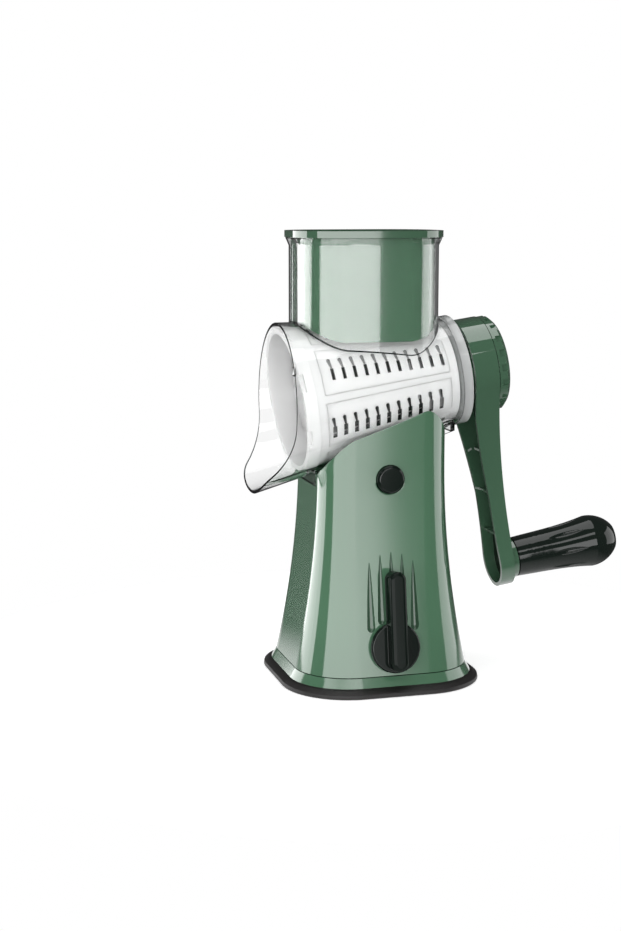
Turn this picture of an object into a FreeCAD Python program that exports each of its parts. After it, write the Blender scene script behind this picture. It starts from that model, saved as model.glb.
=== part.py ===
"""Hand cranked rotary cabbage shredder on a suction base.

+Z is up and the origin is the middle of the foot, on the table.  +X points to the crank, -X to
the spout, and the release button and the suction lever are on the front, -Y.  The drum, its
housing and the crank stand on one axis that rises towards the crank.  "Along" means a distance
along that axis, from the point where it crosses the middle of the base.
"""
import FreeCAD, Part
import math
import os
from types import SimpleNamespace

import Sketcher
from FreeCAD import Placement, Rotation, Vector

SIZES = {
    # fits
    "gap": 0.3,                     # between pieces that pass each other
    "seat_gap": 0.1,                # between pieces that rest on each other
    "run_gap": 0.08,                # radial, round a shaft that turns
    "beyond": 80.0,                 # how far a cutter runs past what it cuts
    "over": 1.0,                    # how far one runs past a thin wall
    # base: a rounded square that flares down to the table
    "base_half": 42.1,              # half width of the upright upper part
    "base_core": 22.1,              # half side of the square that the corners are rolled round
    "flare_top": 145.0,             # height where the flare starts
    "flare_radius": 603.0,
    "seam_height": 11.65,
    "shell_wall": 2.8,
    "saddle_radius": 46.9,          # of the saddle cone where the axis crosses the middle
    "saddle_taper": 0.09,
    "deck_wall": 2.4,
    "cradle_width": 2.5,
    "cradle_along": 24.0,
    "cradle_half": 28.0,
    "well_wall": 2.0,               # of the well that the keel drops into
    "base_spare": 5.0,              # the base is cut down from a block that ends this far under the axis
    "spring_rib_drop": 40.0,
    "boss_offset": 40.0,            # screw bosses, from the middle both ways
    "boss_radius": 4.6,
    "boss_top": 30.0,
    # bottom cover, gasket and suction cup
    "gasket_height": 5.75,
    "gasket_top_half": 60.6,
    "gasket_half": 65.6,
    "gasket_edge": 3.0,             # height of the gasket's widest line
    "gasket_lip": 0.8,
    "cup_radius": 52.4,
    "cup_wall": 1.6,
    "cup_boss_radius": 9.9,
    "cup_boss_top": 5.2,
    "cover_half": 60.3,
    "cover_wall": 3.0,
    "seam_gap": 0.2,
    # screws into the bosses
    "screw_radius": 1.6,
    "screw_head_radius": 3.2,
    "screw_head": 1.5,
    "screw_length": 16.0,
    # suction lever, on the sloping front
    "lever_height": 29.3,
    "lever_front": 53.3,            # from the middle to the front face at that height
    "lever_tilt": 8.0,
    "dial_radius": 16.1,
    "dial_back": 1.4,
    "dial_front": 4.7,
    "dial_chamfer": 0.9,
    "bar_width": 11.0,
    "bar_front": 14.2,
    "bar_back": 2.4,
    "bar_low": 14.4,
    "bar_high": 48.7,
    "hub_radius": 11.2,
    "hub_depth": 7.0,
    "cam_shaft_radius": 3.0,
    "cam_shaft_end": 67.6,
    "cam_radius": 6.1,
    "cam_throw": 3.0,
    "cam_width": 5.0,
    "clip_radius": 5.4,
    "clip_width": 1.0,
    # plunger that the cam lifts
    "yoke_half": 12.8,
    "yoke_window_half": 9.8,
    "yoke_low": 9.1,
    "yoke_window_low": 11.3,
    "yoke_window_high": 25.7,
    "yoke_high": 29.5,
    "yoke_depth": 7.0,
    "rod_radius": 5.0,
    "rod_end": 2.6,
    # bearing block of the cam shaft
    "block_front": 6.5,
    "block_back": 11.0,
    "block_half": 8.0,
    "block_high": 27.0,
    # five teardrop flutes above the lever
    "flute_radius": 2.8,
    "flute_pitch": 7.25,
    "flute_length": 47.0,
    "flute_foot": 48.0,             # height of the middle flute's round end
    "flute_drop": 1.5,              # how much lower each flute is, times its number squared
    "flute_lift": 1.2,              # how far the round end's middle stands off the face
    # release button and latch
    "button_drop": 4.77,            # from the keel's underside, over the latch's left end
    "button_radius": 9.0,
    "button_chamfer": 1.4,
    "button_proud": 3.6,
    "button_flange_radius": 11.0,
    "button_flange": 1.5,
    "button_stem_radius": 3.6,
    "latch_front": 25.0,
    "latch_half": 10.4,
    "latch_bar": 3.0,
    "latch_high": 4.2,
    "latch_back": 2.0,
    "tooth_half": 4.0,
    "tooth_tip": 7.8,
    "tongue_front": 8.2,
    "tongue_wall": 2.6,
    "tongue_half": 6.4,
    "tongue_drop": 5.3,             # tongue's foot below the button's middle
    "spring_end": 13.0,
    "spring_wire": 0.45,
    "spring_radius": 3.4,
    "spring_turns": 5.0,
    "spring_rib": 2.4,
    # axis of the drum
    "axis_height": 190.7,
    "axis_tilt": 8.5,
    # clear housing
    "housing_front": -55.2,         # along, where its front radius is taken
    "housing_front_radius": 50.1,
    "housing_rear": 51.4,
    "housing_rear_radius": 35.4,
    "housing_wall": 1.9,
    "end_wall": 2.2,
    "lip_radius": 36.0,
    "lip_length": 3.8,
    "lip_wall": 2.2,
    "mouth_x": -62.6,               # upright plane of the spout's mouth
    "mouth_bend_drop": 20.7,        # from the axis to where the mouth starts to sweep out
    "mouth_sweep": 48.6,            # radius of the sweep
    "mouth_sweep_angle": 41.2,
    "mouth_tip_radius": 21.3,
    "hopper_x": -5.3,
    "hopper_half": 46.6,            # along X, outside
    "hopper_depth": 35.0,           # along Y, outside, half
    "hopper_corner": 27.0,
    "hopper_wall": 2.0,
    "hopper_rise": 94.8,            # hopper's rim above the axis
    "hopper_flare": 2.2,
    "hopper_flare_height": 5.0,
    "keel_half": 19.7,
    "keel_wall": 2.4,
    "keel_left": -42.7,
    "keel_left_drop": 61.9,         # below the drum's axis
    "keel_right": 51.0,
    "keel_right_drop": 29.2,
    # pusher
    "flange_half": 49.3,
    "flange_depth": 37.7,
    "flange_corner": 29.7,
    "flange_height": 4.2,
    "pusher_gap": 0.7,
    "pusher_wall": 2.0,
    "pusher_arch_radius": 48.8,
    "pusher_arch_drop": 6.3,
    # drum
    "drum_front": -48.8,
    "drum_front_radius": 45.6,
    "drum_rear": 49.5,
    "drum_rear_radius": 31.2,
    "drum_wall": 3.0,
    "drum_end_wall": 2.5,
    "ring_front": -57.0,
    "ring_radius": 46.6,
    "ring_bore": 43.0,
    "ring_notch": 2.6,
    "ring_notch_depth": 2.0,
    "ring_notch_angle": 14.0,
    "ring_notch_turn": 6.8,         # from the middle of a panel round to a notch
    "panel_count": 8,
    "panel_phase": 26.2,            # angle of the first panel's middle above the front horizontal
    "panel_angle": 38.0,
    "panel_angle_gap": 0.35,
    "panel_front": -42.8,
    "panel_rear": 43.6,
    "panel_wall": 2.0,
    "panel_ledge": 1.6,
    "panel_ledge_angle": 2.2,
    "tooth_count": 11,
    "tooth_pitch": 7.49,
    "tooth_middle": 2.4,            # along, the middle tooth of the first panel
    "tooth_stagger": -3.7,
    "slot_width": 2.2,
    "slot_length": 7.3,
    "slot_offset": -2.45,           # across, from the panel's middle to the slots' middle
    "wide_slot_width": 2.8,
    "wide_slot_length": 8.0,
    "wide_slot_offset": -4.7,
    "hood_radius": 1.9,
    "hood_rise": 1.0,
    "hood_neck_radius": 1.0,
    "hood_length": 5.2,             # across, from the slot's end to the middle of the hood's round end
    "hood_shift": -0.9,             # along, from the slot's middle to the hood's round end
    "scoop_radius": 1.15,
    "scoop_neck": 0.55,
    "scoop_depth": 1.2,
    "drum_hub_radius": 15.0,
    "drum_hub_front": 31.0,
    "socket_front": 37.0,
    "socket_side": 14.0,
    "square_length": 13.0,
    "nut_radius": 6.0,
    # crank
    "bush_radius": 16.0,
    "bush_front": 50.6,
    "bush_rear": 57.4,
    "bush_flange_radius": 19.0,
    "spigot_radius": 13.0,
    "head_front": 60.8,
    "head_rear": 77.1,
    "head_radius": 31.9,
    "arm_length": 133.5,
    "arm_end_radius": 17.0,
    "arm_waist_radius": 209.0,      # hollow of the arm's long edges
    "arm_front_mid": 66.3,
    "arm_mid": 88.0,
    "arm_front_end": 67.4,
    "arm_wall": 2.4,
    "arm_web": 2.4,
    "arm_rib": 1.6,
    "arm_rib_first": 57.2,
    "arm_rib_pitch": 28.0,
    "arm_rib_count": 3,
    "arm_rib_half": 11.6,
    "arm_rib_recess": 1.5,
    "grip_boss_radius": 13.4,
    "grip_boss": 4.6,
    # knob and clamp bolt
    "knob_seal": 0.6,
    "knob_radius": 31.4,
    "knob_seal_radius": 30.0,
    "knob_height": 7.8,
    "knob_round": 2.6,
    "knob_notches": 20,
    "knob_notch_width": 4.4,
    "knob_notch_depth": 1.5,
    "knob_notch_start": 2.0,
    "knob_dish": 1.2,
    "knob_dish_radius": 22.0,
    "bolt_radius": 3.0,
    "bolt_head_radius": 6.0,
    "bolt_head": 4.0,
    "bolt_end": 32.0,
    # grip
    "axle_radius": 3.5,
    "axle_depth": 6.0,
    "axle_head": 2.6,
    "axle_head_radius": 6.2,
    "washer_radius": 8.0,
    "washer": 0.8,
    "grip_seam": 137.3,
    "grip_end": 155.6,
    "grip_neck_radius": 13.2,
    "grip_waist_radius": 14.1,
    "grip_waist": 104.0,
    "grip_swell_radius": 15.6,
    "grip_swell": 125.0,
    "grip_belly_radius": 17.4,
    "cap_shoulder_radius": 15.0,
    "cap_shoulder": 147.6,
    "cap_tail_radius": 9.4,
    "cap_tail": 154.6,
    "cap_turn_radius": 7.3,
    "grip_recess_radius": 10.0,
    "grip_recess": 4.2,
    "grip_flutes": 8,
    "grip_flute_start": 100.0,
    "grip_flute_length": 33.0,
    "grip_flute_width": 2.6,
}

doc = FreeCAD.newDocument("shredder")
sheet = doc.addObject("Spreadsheet::Sheet", "Sizes")
for row, (alias, value) in enumerate(SIZES.items(), start=1):
    sheet.set(f"A{row}", alias)
    sheet.set(f"B{row}", str(value))
    sheet.setAlias(f"B{row}", alias)
doc.recompute()
v = SimpleNamespace(**{alias: sheet.get(alias) for alias in SIZES})

# ---------------------------------------------------------------- frames
UPRIGHT = Placement()
HEAD = Placement(Vector(0, 0, v.axis_height), Rotation(Vector(0, 1, 0), -v.axis_tilt))
LEVER = Placement(Vector(0, -v.lever_front, v.lever_height), Rotation(Vector(1, 0, 0), -v.lever_tilt))

PIECES = []


# ---------------------------------------------------------------- keeping a piece
def keep(piece, label, placement=UPRIGHT):
    """Names a piece and sets it in its frame."""
    piece.Label = label
    piece.Placement = placement
    PIECES.append(piece)
    return piece


def keep_shape(label, shape, placement=UPRIGHT):
    """A piece whose shape is worked out with Part's own functions."""
    piece = doc.addObject("Part::Feature", label)
    piece.Shape = shape
    return keep(piece, label, placement)


def new_body(label, placement=UPRIGHT):
    body = doc.addObject("PartDesign::Body", label)
    return keep(body, label, placement)


# ---------------------------------------------------------------- sketches tied to the sheet
def sized(expression):
    """An expression of sizes as an object outside the sheet writes it."""
    words = []
    word = ""
    for letter in str(expression) + " ":
        if letter.isalnum() or letter in "_.":
            word += letter
            continue
        words.append(f"Sizes.{word}" if word in SIZES else word)
        words.append(letter)
        word = ""
    return "".join(words).strip()


def worth(expression):
    return float(sheet.evalExpression(str(expression)))


def new_sketch(body, role, offset="0"):
    """A sketch on one of the body's own origin planes, or off it along its normal."""
    sketch = body.newObject("Sketcher::SketchObject", f"{body.Name}_sketch")
    plane = next(item for item in body.Origin.OriginFeatures if item.Role == role)
    sketch.AttachmentSupport = (plane, [""])
    sketch.MapMode = "FlatFace"
    sketch.setExpression("AttachmentOffset.Base.z", sized(offset))
    return sketch


def bind(sketch, constraint, expression):
    number = sketch.addConstraint(constraint)
    sketch.setExpression(f"Constraints[{number}]", sized(expression))


def tie(sketch, geometry, point, x, y):
    """Ties a point to two expressions of sizes, or to an axis where one is zero."""
    for kind, axis, expression in (("DistanceX", -2, x), ("DistanceY", -1, y)):
        if expression == "0":
            sketch.addConstraint(Sketcher.Constraint("PointOnObject", geometry, point, axis))
        else:
            distance = worth(expression)
            bind(sketch, Sketcher.Constraint(kind, -1, 1, geometry, point, distance), expression)


def draw_outline(sketch, corners):
    """A closed outline of straight sides through corners given as expressions of sizes."""
    spots = [Vector(worth(x), worth(y), 0) for x, y in corners]
    first = sketch.GeometryCount
    count = len(spots)
    for i in range(count):
        sketch.addGeometry(Part.LineSegment(spots[i], spots[(i + 1) % count]))
    for i in range(count):
        follower = first + (i + 1) % count
        sketch.addConstraint(Sketcher.Constraint("Coincident", first + i, 2, follower, 1))
    for i, (x, y) in enumerate(corners):
        tie(sketch, first + i, 1, x, y)


def draw_circle(sketch, x, y, radius):
    centre = Vector(worth(x), worth(y), 0)
    circle = sketch.addGeometry(Part.Circle(centre, Vector(0, 0, 1), worth(radius)))
    tie(sketch, circle, 3, x, y)
    bind(sketch, Sketcher.Constraint("Radius", circle, worth(radius)), radius)


# ---------------------------------------------------------------- features
def add_feature(body, kind, sketch, **bound):
    """A sketch based feature with its sizes bound to the sheet."""
    feature = body.newObject(f"PartDesign::{kind}", f"{body.Name}_{kind}")
    feature.Profile = sketch
    for name, expression in bound.items():
        feature.setExpression(name, sized(expression))
    sketch.Visibility = False
    return feature


def spin(body, sketch, axis):
    feature = add_feature(body, "Revolution", sketch)
    feature.ReferenceAxis = (sketch, [axis])
    feature.Angle = 360
    return feature


def pad(body, sketch, length, both_ways=False):
    feature = add_feature(body, "Pad", sketch, Length=length)
    feature.Midplane = both_ways
    return feature


def cut_along(body, sketch, length, both_ways=False):
    """A pocket the way of the sketch's normal."""
    feature = add_feature(body, "Pocket", sketch, Length=length)
    feature.Midplane = both_ways
    feature.Reversed = True
    return feature


def repeat_round(body, features, count):
    """Features repeated about the body's X axis."""
    pattern = body.newObject("PartDesign::PolarPattern", f"{body.Name}_round")
    axis = next(item for item in body.Origin.OriginFeatures if item.Role == "X_Axis")
    pattern.Originals = features
    pattern.Axis = (axis, [""])
    pattern.Angle = 360
    pattern.setExpression("Occurrences", sized(count))
    body.Tip = pattern


def disc(body, start, end, radius, drop="0"):
    """A round boss or shaft along the body's X, its centre drop below the X axis."""
    sketch = new_sketch(body, "YZ_Plane", start)
    draw_circle(sketch, "0", "0" if drop == "0" else f"-({drop})", radius)
    return pad(body, sketch, f"({end}) - ({start})")


def drill(body, start, end, radius, drop="0"):
    """A round bore along the body's X."""
    sketch = new_sketch(body, "YZ_Plane", start)
    draw_circle(sketch, "0", "0" if drop == "0" else f"-({drop})", radius)
    return cut_along(body, sketch, f"({end}) - ({start})")


# ---------------------------------------------------------------- shapes that Part works out
def placed(shape, placement):
    moved = shape.copy()
    moved.Placement = placement.multiply(moved.Placement)
    return moved


def slope(along, first, first_radius, last, last_radius):
    """Radius of a cone at one place on its axis."""
    return first_radius + (along - first) * (last_radius - first_radius) / (last - first)


def housing_radius(along):
    return slope(along, v.housing_front, v.housing_front_radius, v.housing_rear, v.housing_rear_radius)


def drum_radius(along):
    return slope(along, v.drum_front, v.drum_front_radius, v.drum_rear, v.drum_rear_radius)


def saddle_radius(along):
    return v.saddle_radius - v.saddle_taper * along


def head_cone(radius_at, start, end, extra=0.0):
    """A solid cone on the drum's axis."""
    cone = Part.makeCone(radius_at(start) + extra, radius_at(end) + extra, end - start,
                         Vector(start, 0, 0), Vector(1, 0, 0))
    return placed(cone, HEAD)


def rolled_square(profile, core):
    """A profile drawn outwards from a square core, run along its sides and round its corners."""
    runs = []
    for quarter in range(4):
        side = profile.translated(Vector(core, -core, 0)).extrude(Vector(0, 2 * core, 0))
        corner = profile.translated(Vector(core, core, 0))
        corner = corner.revolve(Vector(core, core, 0), Vector(0, 0, 1), 90)
        for run in (side, corner):
            runs.append(run.rotated(Vector(), Vector(0, 0, 1), 90 * quarter))
    return runs


def square_solid(edges, low, high):
    """A solid on the rounded square plan; the edges are its outer line, from low to high."""
    first = edges[0].firstVertex().Point
    last = edges[-1].lastVertex().Point
    foot = Part.makeLine(Vector(0, 0, low), first)
    top = Part.makeLine(last, Vector(0, 0, high))
    back = Part.makeLine(Vector(0, 0, high), Vector(0, 0, low))
    profile = Part.Face(Part.Wire([foot] + edges + [top, back]))
    core = v.base_core
    middle = Part.makeBox(2 * core, 2 * core, high - low, Vector(-core, -core, low))
    return middle.fuse(rolled_square(profile, core)).removeSplitter()


def flare_half(height, inset=0.0):
    """Half width of the base at a height, or of a surface inside it."""
    reach = v.flare_radius + inset
    rise = max(v.flare_top - height, 0.0)
    return v.base_half + v.flare_radius - math.sqrt(reach ** 2 - rise ** 2)


def base_solid(low, high, inset=0.0):
    """The flaring base between two heights, all round its walls by an inset."""
    def spot(height):
        return Vector(flare_half(height, inset) - v.base_core, 0, height)
    arc = Part.Arc(spot(low), spot((low + v.flare_top) / 2), spot(v.flare_top)).toShape()
    upright = Part.makeLine(spot(v.flare_top), spot(high))
    return square_solid([arc, upright], low, high)


def tapered_solid(points):
    """A solid on the rounded square plan through half widths and heights, from the foot up."""
    spots = [Vector(half - v.base_core, 0, height) for half, height in points]
    edges = [Part.makeLine(a, b) for a, b in zip(spots, spots[1:])]
    return square_solid(edges, points[0][1], points[-1][1])


def oblong_wire(half, depth, corner, height, middle=0.0):
    """A rounded rectangle, level at a height."""
    flat_x = half - corner
    flat_y = depth - corner
    turn = corner * math.sqrt(0.5)
    edges = []
    for sign_x, sign_y in ((1, 1), (-1, 1), (-1, -1), (1, -1)):
        centre = Vector(middle + sign_x * flat_x, sign_y * flat_y, height)
        across = centre + Vector(sign_x * corner, 0, 0)
        ahead = centre + Vector(0, sign_y * corner, 0)
        mid = centre + Vector(sign_x * turn, sign_y * turn, 0)
        ends = (across, ahead) if sign_x * sign_y > 0 else (ahead, across)
        edges.append(Part.Arc(ends[0], mid, ends[1]).toShape())
    wire = []
    for arc, following in zip(edges, edges[1:] + edges[:1]):
        wire += [arc, Part.makeLine(arc.lastVertex().Point, following.firstVertex().Point)]
    return Part.Wire(wire)


def oblong(half, depth, corner, low, high, middle=0.0):
    """An upright rounded block."""
    face = Part.Face(oblong_wire(half, depth, corner, low, middle))
    return face.extrude(Vector(0, 0, high - low))


def side_prism(points, half):
    """An outline in the upright plane along X, run to both sides of it."""
    wire = Part.makePolygon([Vector(x, -half, z) for x, z in points + points[:1]])
    return Part.Face(wire).extrude(Vector(0, 2 * half, 0))


def block(x_from, x_to, y_from, y_to, z_from, z_to):
    return Part.makeBox(x_to - x_from, y_to - y_from, z_to - z_from, Vector(x_from, y_from, z_from))


def keel_height(x):
    """Height of the keel's sloping underside."""
    drop = slope(x, v.keel_left, v.keel_left_drop, v.keel_right, v.keel_right_drop)
    return v.axis_height - drop


BUTTON_HEIGHT = keel_height(-v.latch_half) - v.button_drop
TONGUE_LOW = BUTTON_HEIGHT - v.tongue_drop
HOPPER_TOP = v.axis_height + v.hopper_rise

# ---------------------------------------------------------------- base
COVER_TOP = v.gasket_height + v.cover_wall
BOSS_SPOTS = [(x * v.boss_offset, y * v.boss_offset) for x in (-1, 1) for y in (-1, 1)]


def upright_pin(x, y, low, high, radius):
    return Part.makeCylinder(radius, high - low, Vector(x, y, low))


def lever_rod(start, end, radius):
    """A cylinder on the lever's axis; inwards is the way of +Y."""
    rod = Part.makeCylinder(radius, end - start, Vector(0, start, 0), Vector(0, 1, 0))
    return placed(rod, LEVER)


def flute_cutters():
    """Five teardrops: a ball at the foot that draws out to a point."""
    cutters = []
    for number in range(-2, 3):
        x = number * v.flute_pitch
        foot = v.flute_foot - v.flute_drop * number ** 2
        low = Vector(x, -flare_half(foot) - v.flute_lift, foot)
        high = Vector(x, -flare_half(foot + v.flute_length) - v.flute_lift / 3, foot + v.flute_length)
        reach = high - low
        cone = Part.makeCone(v.flute_radius, 0, reach.Length, low, reach)
        cutters.append(cone.fuse(Part.makeSphere(v.flute_radius, low)))
    return cutters


def saddle_cradles(outside):
    """Two ribs on the saddle that the housing's cone sits in."""
    ring = head_cone(saddle_radius, -v.beyond, v.beyond, v.deck_wall / 2)
    ring = ring.cut(head_cone(housing_radius, -v.beyond, v.beyond, v.seat_gap))
    ribs = []
    for middle in (-v.cradle_along, v.cradle_along):
        start = middle - v.cradle_width / 2
        slab = block(start, start + v.cradle_width, -v.cradle_half, v.cradle_half, -v.beyond, 0)
        ribs.append(ring.common(placed(slab, HEAD)).common(outside))
    return ribs


def keel_well(extra):
    """What the keel's well takes out of the base, or its walls with an extra all round."""
    far, half = v.beyond, v.keel_half + v.gap + extra
    lift = v.gap + extra
    return side_prism([(-far, keel_height(-far) - lift), (far, keel_height(far) - lift),
                       (far, v.axis_height), (-far, v.axis_height)], half)


def make_base_shell():
    top = v.axis_height - v.base_spare
    outside = base_solid(v.seam_height, top)
    under_deck = head_cone(saddle_radius, -v.beyond, v.beyond, v.deck_wall)
    saddle = head_cone(saddle_radius, -v.beyond, v.beyond)
    inside = base_solid(v.seam_height, top, v.shell_wall).cut(under_deck).cut(keel_well(v.well_wall))
    shell = outside.cut(inside).cut(saddle)

    filled = base_solid(COVER_TOP + v.seat_gap, top)
    bosses = [upright_pin(x, y, COVER_TOP + v.seat_gap, v.boss_top, v.boss_radius).common(filled)
              for x, y in BOSS_SPOTS]
    spring_rib = block(-v.latch_half, v.latch_half, v.spring_end, v.spring_end + v.spring_rib,
                       TONGUE_LOW, v.axis_height - v.spring_rib_drop).cut(saddle)
    shell = shell.fuse(bosses + [spring_rib] + saddle_cradles(outside))

    tongue_slot = block(-v.tongue_half - v.over, v.tongue_half + v.over, -v.tongue_front - v.over,
                        -v.tongue_front + v.tongue_wall + v.over, TONGUE_LOW, top)
    button_hole = Part.makeCylinder(v.button_radius + v.gap, v.base_half,
                                    Vector(0, -v.base_half - v.button_radius, BUTTON_HEIGHT),
                                    Vector(0, 1, 0))
    lever_hole = lever_rod(-2 * v.hub_depth, 2 * v.hub_depth, v.hub_radius + v.run_gap)
    pilots = [upright_pin(x, y, 0, v.gasket_height + v.screw_length + v.gap, v.screw_radius)
              for x, y in BOSS_SPOTS]
    shell = shell.cut([keel_well(0), tongue_slot, button_hole, lever_hole] + pilots + flute_cutters())
    return keep_shape("base_shell", shell.removeSplitter())


def make_bottom_cover():
    """The tray under the shell, with the bearing block of the cam shaft on its floor."""
    seam_half = flare_half(v.seam_height)
    rim_top = v.seam_height - v.seam_gap
    tray = tapered_solid([(v.cover_half, v.gasket_height), (seam_half, rim_top)])
    hollow = tapered_solid([(seam_half - v.shell_wall, COVER_TOP), (seam_half - v.shell_wall, rim_top)])
    bearing = block(-v.block_half, v.block_half, v.block_front, v.block_back, COVER_TOP - v.over,
                    v.block_high)
    tray = tray.cut(hollow).fuse(bearing)
    cuts = [lever_rod(v.lever_front, v.lever_front + 2 * v.block_back, v.cam_shaft_radius + v.run_gap),
            upright_pin(0, 0, 0, COVER_TOP, v.cup_boss_radius + v.gap)]
    for x, y in BOSS_SPOTS:
        cuts.append(upright_pin(x, y, 0, COVER_TOP, v.screw_radius + v.gap))
        cuts.append(upright_pin(x, y, 0, v.gasket_height + v.screw_head + v.seat_gap,
                                v.screw_head_radius + v.gap))
    return keep_shape("bottom_cover", tray.cut(cuts).removeSplitter())


def make_base_screws():
    """Four screws from under the cover into the shell's bosses."""
    screws = []
    for x, y in BOSS_SPOTS:
        head_low = v.gasket_height + v.seat_gap
        shank = upright_pin(x, y, head_low, v.gasket_height + v.screw_length, v.screw_radius)
        screws.append(shank.fuse(upright_pin(x, y, head_low, head_low + v.screw_head,
                                             v.screw_head_radius)).removeSplitter())
    return keep_shape("base_screws", Part.makeCompound(screws))


def make_foot_gasket():
    """The rubber rim that the whole tool stands on, open in the middle for the suction cup."""
    foot = tapered_solid([(v.gasket_half - v.gasket_lip, 0), (v.gasket_half, v.gasket_lip),
                          (v.gasket_half - v.gasket_lip / 2, v.gasket_edge),
                          (v.gasket_top_half, v.gasket_height)])
    opening = upright_pin(0, 0, 0, v.gasket_height, v.cup_radius + 2 * v.gap)
    return keep_shape("foot_gasket", foot.cut(opening).removeSplitter())


def make_suction_cup():
    body = new_body("suction_cup")
    sketch = new_sketch(body, "XZ_Plane")
    draw_outline(sketch, [("0", "gap"), ("cup_radius", "gap"), ("cup_radius", "gap + cup_wall / 2"),
                          ("cup_radius / 2", "gap + cup_wall"), ("cup_boss_radius", "gap + cup_wall"),
                          ("cup_boss_radius", "cup_boss_top"), ("rod_radius", "cup_boss_top"),
                          ("rod_radius", "rod_end"), ("0", "rod_end")])
    spin(body, sketch, "V_Axis")


def make_plunger():
    """A rod from the cup with a yoke on it that the cam turns in."""
    body = new_body("suction_plunger")
    yoke = new_sketch(body, "XZ_Plane")
    draw_outline(yoke, [("-yoke_half", "yoke_low"), ("yoke_half", "yoke_low"),
                        ("yoke_half", "yoke_high"), ("-yoke_half", "yoke_high")])
    pad(body, yoke, "yoke_depth", both_ways=True)
    window = new_sketch(body, "XZ_Plane")
    side = "yoke_window_half"
    draw_outline(window, [(f"-{side}", "yoke_window_low"), (side, "yoke_window_low"),
                          (side, "yoke_window_high"), (f"-{side}", "yoke_window_high")])
    cut_along(body, window, "2 * yoke_depth", both_ways=True)
    rod = new_sketch(body, "XY_Plane", "rod_end")
    draw_circle(rod, "0", "0", "rod_radius")
    pad(body, rod, "yoke_low - rod_end")


def make_lever():
    """The dial with its hub through the shell and the bar that a hand turns it by."""
    body = new_body("suction_lever", LEVER)
    dial = new_sketch(body, "XY_Plane")
    draw_outline(dial, [("0", "-dial_front"), ("dial_radius - dial_chamfer", "-dial_front"),
                        ("dial_radius", "dial_chamfer - dial_front"), ("dial_radius", "-dial_back"),
                        ("hub_radius", "-dial_back"), ("hub_radius", "hub_depth"),
                        ("cam_shaft_radius", "hub_depth"), ("cam_shaft_radius", "0"), ("0", "0")])
    spin(body, dial, "V_Axis")
    bar = new_sketch(body, "XZ_Plane", "bar_back")
    draw_slot(bar, "bar_width / 2", "bar_width / 2 - bar_low", "bar_high - bar_width / 2")
    raised = pad(body, bar, "bar_front - bar_back")
    doc.recompute()
    rim = [f"Edge{i}" for i, edge in enumerate(body.Shape.Edges, 1)
           if on_front(body, edge, -v.bar_front)]
    rounding = body.newObject("PartDesign::Fillet", "lever_rounding")
    rounding.Base = (raised, rim)
    rounding.setExpression("Radius", sized("bar_width / 4"))


def on_front(body, edge, depth):
    """Whether an edge lies in the body's plane Y = depth."""
    back = body.Placement.inverse()
    return all(abs(back.multVec(vertex.Point).y - depth) < 1e-6 for vertex in edge.Vertexes)


def draw_slot(sketch, half, low, high):
    """An upright slot outline: two sides and two half circles."""
    radius = worth(half)
    bottom, top = worth(low), worth(high)
    up = Vector(0, 0, 1)
    sketch.addGeometry(Part.LineSegment(Vector(radius, bottom, 0), Vector(radius, top, 0)))
    sketch.addGeometry(Part.ArcOfCircle(Part.Circle(Vector(0, top, 0), up, radius), 0, math.pi))
    sketch.addGeometry(Part.LineSegment(Vector(-radius, top, 0), Vector(-radius, bottom, 0)))
    sketch.addGeometry(Part.ArcOfCircle(Part.Circle(Vector(0, bottom, 0), up, radius),
                                        math.pi, 2 * math.pi))
    for i in range(4):
        sketch.addConstraint(Sketcher.Constraint("Tangent", i, 2, (i + 1) % 4, 1))
    tie(sketch, 1, 3, "0", high)
    tie(sketch, 3, 3, "0", low)
    bind(sketch, Sketcher.Constraint("Radius", 1, radius), half)


def make_cam_shaft():
    """The shaft of the lever, with an eccentric cam where it passes through the yoke."""
    body = new_body("cam_shaft", LEVER)
    rod = new_sketch(body, "XZ_Plane")
    draw_circle(rod, "0", "0", "cam_shaft_radius")
    pad(body, rod, "cam_shaft_end").Reversed = True
    cam = new_sketch(body, "XZ_Plane", "-(lever_front / cos(lever_tilt * 1 deg))")
    draw_circle(cam, "0", "-cam_throw", "cam_radius")
    pad(body, cam, "cam_width", both_ways=True)


def clip_start():
    """Where a ring square to the sloping shaft clears the bearing block."""
    tilt = math.radians(v.lever_tilt)
    return (v.lever_front + v.block_back) / math.cos(tilt) + v.clip_radius * math.tan(tilt) + v.seat_gap


def make_shaft_clip():
    ring = Part.makeCylinder(v.clip_radius, v.clip_width, Vector(0, clip_start(), 0), Vector(0, 1, 0))
    bore = Part.makeCylinder(v.cam_shaft_radius, v.cam_shaft_end, Vector(), Vector(0, 1, 0))
    return keep_shape("shaft_clip", ring.cut(bore), LEVER)


# ---------------------------------------------------------------- release button
def make_button():
    body = new_body("release_button", Placement(Vector(0, 0, BUTTON_HEIGHT), Rotation()))
    sketch = new_sketch(body, "XY_Plane")
    front = "-(base_half + button_proud)"
    behind = "-(base_half - shell_wall - seat_gap)"
    draw_outline(sketch, [("0", front), ("button_radius - button_chamfer", front),
                          ("button_radius", f"{front} + button_chamfer"), ("button_radius", behind),
                          ("button_flange_radius", behind),
                          ("button_flange_radius", f"{behind} + button_flange"),
                          ("button_stem_radius", f"{behind} + button_flange"),
                          ("button_stem_radius", "-latch_front"), ("0", "-latch_front")])
    spin(body, sketch, "V_Axis")


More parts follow.
